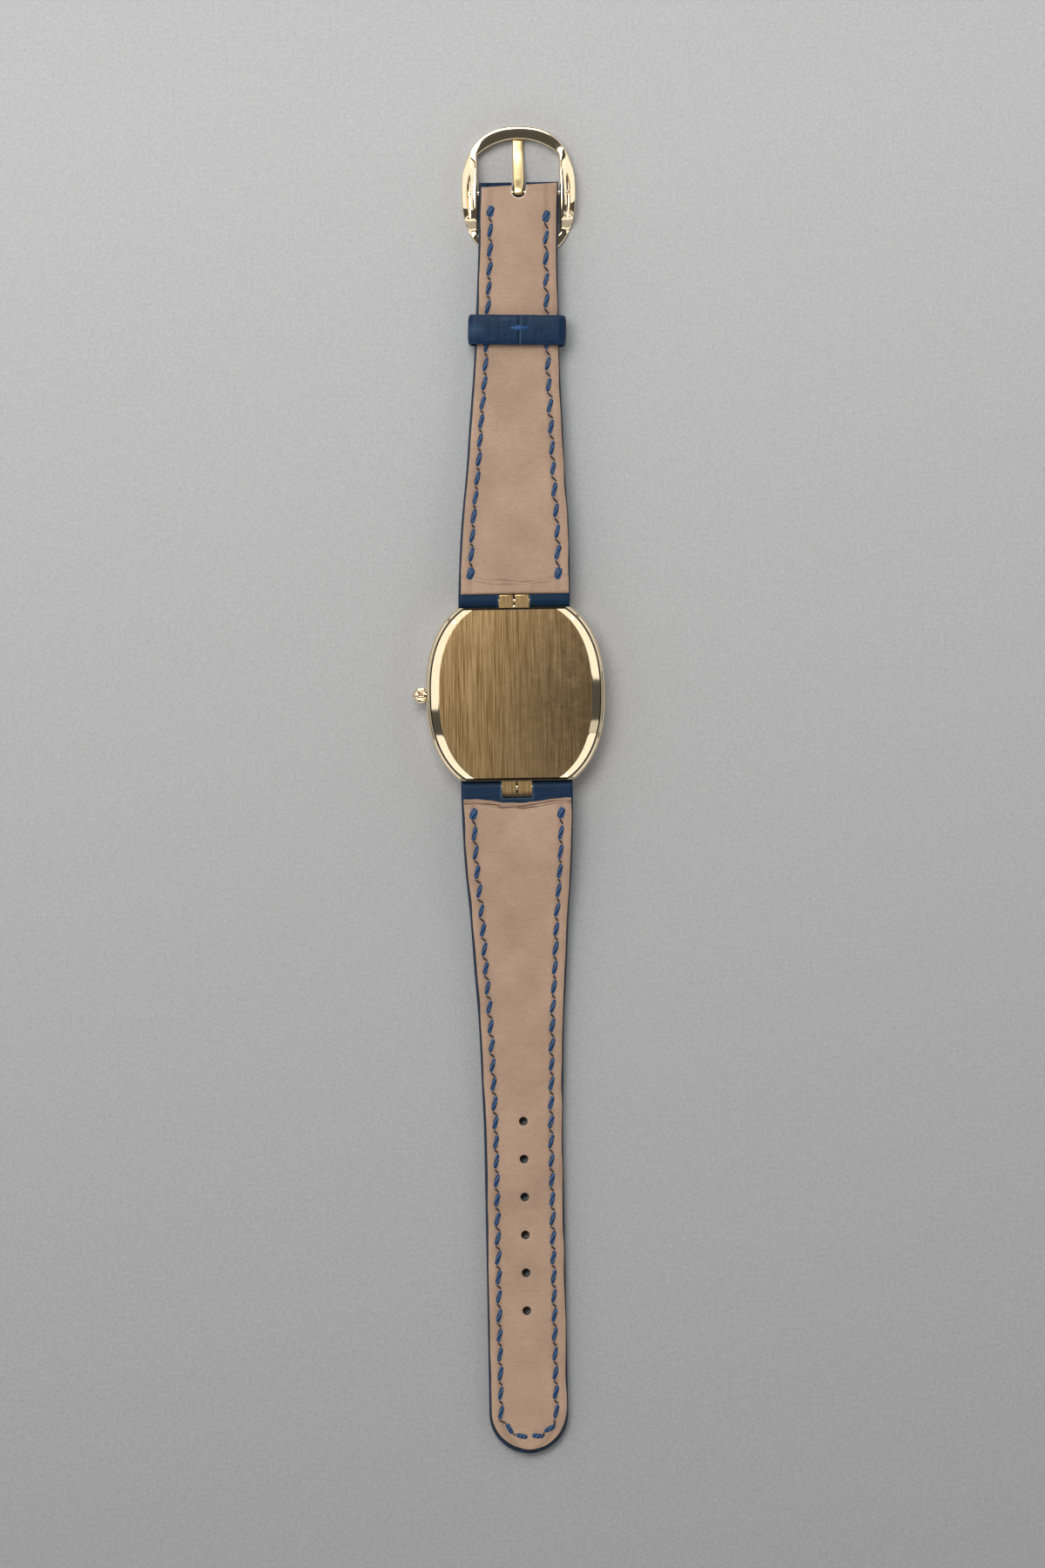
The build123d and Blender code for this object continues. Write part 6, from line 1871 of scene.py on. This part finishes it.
@dataclass
class Buckle:
    """Polished oval buckle with recessed arms, its bar and its satin tongue. Sizes in millimetres."""

    palette: Palette
    half_width: float = 9.9
    half_length: float = 11.6
    power: float = 2.4
    opening_half_width: float = 7.15
    opening_half_length: float = 9.4
    opening_corner: float = 6.65
    steps: int = 240
    section_steps: int = 36
    top_knots: Knots = ((-6.5, 0.85), (-4.6, 3.3), (3.4, 3.3), (6.6, 2.15), (11.6, 2.1))
    arm_drop: float = 1.5
    arm_start: float = -3.4
    arm_end: float = 2.4
    arm_squareness: float = 0.5
    flat_span: Span = (-1.0, 0.6)
    end_squareness: float = 0.3
    arm_height: float = 3.3
    end_lift: float = 0.35
    recess_middle: float = -0.65
    recess_reach: float = 4.15
    recess_half_width: float = 0.55
    recess_depth: float = 0.42
    taper_power: float = 0.6
    pin_hole: float = 0.36
    bar_radius: float = 0.49
    tongue_width: float = 1.9
    tongue_length: float = 11.1
    tongue_top: Knots = ((0, 3.16), (2.5, 2.2), (6.3, 1.0), (9.4, 0.85), (11.1, 0.62))
    tongue_low: Knots = ((0, 1.34), (2.5, 0.9), (6.3, 0.16), (9.4, 0.05), (11.1, 0.05))
    tongue_squareness: float = 0.45
    tongue_steps: int = 48
    tongue_section: int = 24
    tongue_narrowing: float = 0.35
    tongue_tip: float = 9.8
    eye_start: float = 0.15
    eye_steps: int = 10
    eye_radius: float = 0.91
    bar_play: float = 0.03
    centre: Vector = field(default_factory=Vector)

    def __post_init__(self) -> None:
        """Read the buckle bar's place from the frame."""
        low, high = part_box("buckle_bar")
        self.centre = (low + high) / 2 / MM

    def under(self, y: float) -> float:
        """Give the height of the ring's lower side at a distance from its bar."""
        return self.end_lift * ease(y, self.half_length / 2, self.half_length)

    def outer_point(self, angle: float) -> Vector:
        """Find where the ring's outer oval meets a ray from the middle.

        Args:
            angle: Direction of the ray from X.

        Returns:
            Place from the ring's middle.
        """
        c, s = abs(math.cos(angle)) / self.half_width, abs(math.sin(angle)) / self.half_length
        reach = (c ** self.power + s ** self.power) ** (-1 / self.power)
        return Vector((reach * math.cos(angle), reach * math.sin(angle)))

    def opening_point(self, angle: float) -> Vector:
        """Find where the opening's straight sides or round ends meet a ray from the middle.

        Args:
            angle: Direction of the ray from X.

        Returns:
            Place from the ring's middle.
        """
        c, s = math.cos(angle), math.sin(angle)
        smallest = 0.001
        reach = self.opening_half_width / max(abs(c), smallest)
        if abs(s) * reach > self.opening_corner:
            depth = self.opening_half_length - self.opening_corner
            radius = (self.opening_half_width ** 2 + depth ** 2) / (2 * depth)
            middle = (self.opening_half_length - radius) * math.copysign(1.0, s)
            reach = middle * s + math.sqrt((middle * s) ** 2 + radius ** 2 - middle ** 2)
        return Vector((reach * c, reach * s))

    def armness(self, y: float) -> float:
        """Give how much of the arms' outward slope the ring has at a distance from its bar."""
        low, corner = self.top_knots[0][0], self.opening_corner
        return ease(y, low, self.arm_start) * (1 - ease(y, self.arm_end, corner))

    def build_frame(self) -> None:
        """Build the ring, then sink a pointed recess with a pin hole in each arm."""
        loops = []
        for index in range(self.steps):
            angle = math.tau * (index + 0.5) / self.steps
            outer, inner = self.outer_point(angle), self.opening_point(angle)
            loop = []
            for step in range(self.section_steps):
                turn = math.tau * step / self.section_steps
                flatness = ease(inner.y, *(self.opening_corner + part for part in self.flat_span))
                power = self.arm_squareness + (self.end_squareness - self.arm_squareness) * flatness
                place = inner.lerp(outer, (1 + blunt(math.cos(turn), power)) / 2)
                low, high = self.under(place.y), curve_value(self.top_knots, place.y)
                z = (low + high) / 2 + blunt(math.sin(turn), power) * (high - low) / 2
                out = (place - inner).length / (outer - inner).length
                z -= self.arm_drop * self.armness(inner.y) * out * max(0.0, math.sin(turn)) ** power
                loop.append(Vector((place.x + self.centre.x, place.y + self.centre.y, z)))
            loops.append(loop)
        bm = bmesh.new()
        loft(bm, loops, ring=True)
        piece = finish_mesh(bm, "buckle_ring", [self.palette.gold], sharp=40.0)
        for side in (1, -1):
            x = self.centre.x + side * (self.half_width + self.opening_half_width) / 2
            carve(piece, self.recess_cutter(x, side))
            hole = bmesh.new()
            foot = Vector((x, self.centre.y, self.centre.z + self.bar_radius / 2))
            round_bar(hole, self.pin_hole, foot, foot + Vector((0, 0, self.arm_height)), sides=24)
            carve(piece, hole)
        install(piece, "buckle", "polished_gold", "buckle_frame")

    def recess_cutter(self, x: float, side: int) -> Mesh:
        """Draw the pointed boat shape that cuts one arm's recess, square to its sloping face.

        Args:
            x: Middle of the arm.
            side: Sign of X of the arm.

        Returns:
            Mesh of the cutter.
        """
        cutter = bmesh.new()
        slope = math.atan(self.arm_drop / (self.half_width - self.opening_half_width))
        tilt = Matrix.Rotation(side * slope, 3, "Y")
        for vert in bmesh.ops.create_uvsphere(cutter, u_segments=24, v_segments=32, radius=1.0)["verts"]:
            s = vert.co.z
            taper = math.sqrt(max(0.0, 1 - s * s)) ** self.taper_power
            spot = Vector((vert.co.x * self.recess_half_width * taper, 0, vert.co.y * self.recess_depth))
            along = self.centre.y + self.recess_middle + s * self.recess_reach
            vert.co = tilt @ spot + Vector((x, along, self.arm_height - self.arm_drop / 2))
        return cutter

    def build_bar(self) -> None:
        """Build the bar between the arms."""
        bm = bmesh.new()
        half = Vector(((self.half_width + self.opening_half_width) / 2, 0, 0))
        round_bar(bm, self.bar_radius, self.centre - half, self.centre + half)
        piece = finish_mesh(bm, "buckle_bar_round", [self.palette.gold])
        install(piece, "buckle", "polished_gold", "buckle_bar")

    def build_tongue(self) -> None:
        """Build the tongue, which starts as a rounded nose round the bar."""
        loops = []
        angles = spread(self.eye_start, math.pi / 2, self.eye_steps)[:-1]
        places = [-self.eye_radius * math.cos(angle) for angle in angles]
        places += spread(0, self.tongue_length, self.tongue_steps)
        for along in places:
            if along < 0:
                rise = math.sqrt(self.eye_radius ** 2 - along ** 2)
                low, high = self.centre.z - rise, self.centre.z + rise
            else:
                low, high = curve_value(self.tongue_low, along), curve_value(self.tongue_top, along)
            tip = 1 - self.tongue_narrowing * ease(along, self.tongue_tip, self.tongue_length)
            nose = math.sqrt(max(0.0, 1 - (min(0.0, along) / self.eye_radius) ** 2)) ** self.taper_power
            loop = []
            for step in range(self.tongue_section):
                turn = math.tau * step / self.tongue_section
                u = blunt(math.cos(turn), self.tongue_squareness) * self.tongue_width / 2 * tip * nose
                w = blunt(math.sin(turn), self.tongue_squareness) * (high - low) / 2
                loop.append(Vector((self.centre.x + u, self.centre.y + along, (low + high) / 2 + w)))
            loops.append(loop)
        bm = bmesh.new()
        loft(bm, loops)
        piece = finish_mesh(bm, "buckle_tongue_bar", [self.palette.satin_gold], sharp=35.0)
        eye = bmesh.new()
        half = Vector((self.tongue_width, 0, 0))
        round_bar(eye, self.bar_radius + self.bar_play, self.centre - half, self.centre + half)
        carve(piece, eye)
        install(piece, "tongue", "brushed_gold", "buckle_tongue")

    def build(self) -> None:
        """Build the frame, bar and tongue."""
        self.build_frame()
        self.build_bar()
        self.build_tongue()


# Studio

@dataclass(frozen=True)
class StudioPaper:
    """Grey studio card with a painted light falloff that darkens it towards -Y, whose fine mottled tooth
    keeps it matt.

    Real tooth is about 0.2 mm wide, and is drawn as coarse as it needs to show. Lengths are in mm.
    """

    name: str = "studio_card_grey"
    light: str = "#c1c1c1"
    dark: str = "#adadad"
    tooth: float = 0.55
    tooth_depth: float = 0.25
    tone_stops: Span = (0.3, 0.7)
    # Painted light falloff, multiplied into the tone: darker towards -Y
    fade: tuple[tuple[float, str], ...] = ((0.0, "#d8d8d8"), (1.0, "#ffffff"))
    falloff_reach: Span = (-150.0, 100.0)

    def make(self) -> Material:
        """Build the material.

        Returns:
            Matt grey card.
        """
        material, tree, place = start_material(self.name)
        noise_settings = {"Scale": per_mm(self.tooth), "Detail": 5.0, "Roughness": 0.75}
        tooth = add(tree, "TexNoise", noise_settings, {"Vector": place})
        tone = add(tree, "ValToRGB", between(self.tone_stops, self.dark, self.light), {"Fac": tooth})
        along = add(tree, "SeparateXYZ", {}, {"Vector": place}).outputs["Y"]
        reach = {"From Min": self.falloff_reach[0] * MM, "From Max": self.falloff_reach[1] * MM}
        share = add(tree, "MapRange", reach, {"Value": along})
        fade = add(tree, "ValToRGB", {"stops": self.fade}, {"Fac": share})
        with_painted_falloff = add(tree, "MixRGB", {"blend_type": "MULTIPLY", "Fac": 1.0}, {"Color1": tone, "Color2": fade})
        bump = add(tree, "Bump", {"Strength": 0.35, "Distance": self.tooth_depth * MM}, {"Height": tooth})
        close_material(tree, {"Roughness": 0.85}, {"Base Color": with_painted_falloff, "Normal": bump})
        return material


@dataclass(frozen=True)
class Softbox:
    """Rectangular studio lamp aimed at the watch. Sizes in metres, brightness where a white card shows 1."""

    name: str
    place: tuple[float, float, float]
    width: float
    height: float
    brightness: float

    def build(self) -> None:
        """Hang the lamp and point it at the watch."""
        light = bpy.data.lights.new(self.name, "AREA")
        light.shape, light.size, light.size_y = "RECTANGLE", self.width, self.height
        light.energy = self.brightness * math.pi * self.width * self.height
        lamp = bpy.data.objects.new(self.name, light)
        lamp.location = self.place
        lamp.rotation_euler = (-Vector(self.place)).to_track_quat("-Z", "Y").to_euler()
        bpy.context.scene.collection.objects.link(lamp)


@dataclass(frozen=True)
class Card:
    """Upright white card on a ring round the watch, given by the directions it spans, in degrees from +X."""

    start: float
    end: float
    brightness: float


@dataclass
class Studio:
    """Floor, softboxes, ring of cards, dim surroundings and the camera above the watch.

    The card, the camera and its aim are in millimetres, the lamps in metres and the roll in degrees.
    """

    image: tuple[int, int] = (1200, 1800)
    pixels_per_mm: float = 6.62
    origin_pixel: Span = (592.0, 796.5)
    roll: float = 0.88
    camera_height: float = 905.0
    sensor: float = 36.0
    clip: Span = (0.01, 20.0)
    aim_height: float = 5.0
    floor_half: float = 1200.0
    floor_gap: float = 0.05
    world_level: float = 0.08
    key: Softbox = Softbox("softbox_key", (-0.24, 0.36, 0.8), 0.8, 0.45, 5.9)
    ring_radius: float = 1.3
    ring_middle: float = 0.48
    ring_height: float = 0.93
    cards: tuple[Card, ...] = (
        Card(5.2, 42.0, 1.1), Card(42.0, 80.0, 1.1), Card(100.0, 141.0, 1.1), Card(141.0, 181.7, 1.1),
        Card(195.0, 232.0, 1.1), Card(232.0, 270.0, 1.1), Card(270.0, 308.0, 1.1), Card(308.0, 345.0, 1.1),
        Card(346.0, 352.0, 0.6),
    )

    def build_floor(self) -> None:
        """Lay the card under the watch."""
        bm = bmesh.new()
        level = Matrix.Translation((0, 0, min(CAD_BOX[0][2] / MM, 0.0) - self.floor_gap))
        bmesh.ops.create_grid(bm, x_segments=4, y_segments=4, size=self.floor_half, matrix=level)
        finish_mesh(bm, "floor_card", [StudioPaper().make()])

    def build_lights(self) -> None:
        """Hang the key light and stand the cards."""
        self.key.build()
        for index, card in enumerate(self.cards):
            middle = math.radians((card.start + card.end) / 2)
            span = math.radians(card.end - card.start)
            x, y = self.ring_radius * math.cos(middle), self.ring_radius * math.sin(middle)
            place = (x, y, self.ring_middle)
            width = 2 * self.ring_radius * math.tan(span / 2)
            Softbox(f"card_{index}", place, width, self.ring_height, card.brightness).build()

    def build_world(self) -> None:
        """Set the dim even surroundings."""
        world = bpy.data.worlds.new("studio_room")
        world.use_nodes = True
        background = world.node_tree.nodes["Background"]
        background.inputs["Color"].default_value = linear("#ffffff")
        background.inputs["Strength"].default_value = self.world_level
        bpy.context.scene.world = world

    def build_camera(self) -> None:
        """Hang the camera over the place that the picture's middle shows."""
        turn = math.radians(self.roll)
        right = (self.image[0] / 2 - self.origin_pixel[0]) / self.pixels_per_mm
        down = (self.image[1] / 2 - self.origin_pixel[1]) / self.pixels_per_mm
        x = right * math.cos(turn) - down * math.sin(turn)
        y = -right * math.sin(turn) - down * math.cos(turn)
        data = bpy.data.cameras.new("camera")
        data.sensor_fit, data.sensor_height = "VERTICAL", self.sensor
        view = self.image[1] / self.pixels_per_mm
        data.lens = data.sensor_height * (self.camera_height - self.aim_height) / view
        data.clip_start, data.clip_end = self.clip
        camera = bpy.data.objects.new("camera", data)
        camera.location = Vector((x, y, self.camera_height)) * MM
        camera.rotation_euler = (0.0, 0.0, -turn)
        bpy.context.scene.collection.objects.link(camera)
        bpy.context.scene.camera = camera

    def build(self) -> None:
        """Set up the whole studio."""
        self.build_floor()
        self.build_world()
        self.build_lights()
        self.build_camera()
        bpy.context.scene.view_settings.view_transform = "Standard"


def strap_halves(palette: Palette) -> list[Strap]:
    """Describe the long and the short strap half.

    Args:
        palette: Materials of the watch.

    Returns:
        The two halves.
    """
    long_half = Strap(
        palette, "long_strap", End.TIP, length=116.0, end_width=13.7, lean=0.2,
        low_knots=(
            (0, 2.1), (1.9, 2.1), (2.8, 1.58), (5.0, 0.88), (8.4, 0.31),
            (12.4, 0.06), (16.9, 0.0), (116, 0.0),
        ),
        high_knots=(
            (0, 4.4), (6.0, 4.4), (11.2, 4.11), (18.48, 3.24), (27.84, 2.457),
            (42.4, 1.993), (68.4, 1.703), (110.0, 1.5), (116.0, 1.5),
        ),
        lip=Lip(
            start=1.95, sag=0.7, lift=0.0, lift_run=1.0, curl=0.3, creases=(0.55, 0.95),
            wander=Ripple(0.2, 2.2, 2.6, 1.0), waves=Ripple(0.04, -3.1, 2.6, 0.9),
            crease_wander=Ripple(0.3, 5.5, 4.2, 1.0), crease=Hump(1.0, 0.1), crease_depth=0.2,
            crease_shade=1.0,
        ),
        left_row=StitchRow(32, 4.55, 3.36), right_row=StitchRow(32, 4.55, 3.36), round_tip=True, holes=6,
    )
    short_half = Strap(
        palette, "short_strap", End.BUCKLE, length=71.0, end_width=13.8, lean=-1.5,
        low_knots=((0, 2.1), (1.9, 2.1), (3.4, 1.84), (6.4, 1.37), (11.0, 1.11), (17.0, 1.05), (71.0, 1.05)),
        high_knots=(
            (0, 4.4), (6.0, 4.4), (11.31, 4.258), (17.8, 3.878), (29.6, 3.26),
            (42.58, 2.928), (56.15, 3.022), (65.0, 3.45), (71.0, 3.45),
        ),
        lip=Lip(
            start=1.15, sag=0.0, lift=0.36, lift_run=2.4, curl=0.03, creases=(1.7, 2.1),
            wander=Ripple(0.05, 2.2, 2.6, 1.0), waves=Ripple(0.04, 3.1, 2.6, 0.9),
            crease_wander=Ripple(0.4, 5.5, 4.2, 1.0), crease_arc=1.3, crease_depth=0.08,
            crease_shade=0.45, fine_run=4.5,
        ),
        left_row=StitchRow(20, 4.75, 3.31), right_row=StitchRow(18, 4.6, 3.65), round_tip=False,
        end_fold_radius=1.2, end_bar_height=2.25,
    )
    return [long_half, short_half]


def main() -> None:
    """Dress the frame, build every new piece and set up the studio."""
    logging.basicConfig(level=logging.INFO, format="%(message)s")
    palette = Palette()
    palette.dress_nodes(frame["nodes"], frame["record"]["subparts"])
    OvalCase(palette).build()
    Crown(palette).build()
    for half in strap_halves(palette):
        half.build()
    Keeper(palette).build()
    Buckle(palette).build()
    Studio().build()


if __name__ == "__main__":
    main()
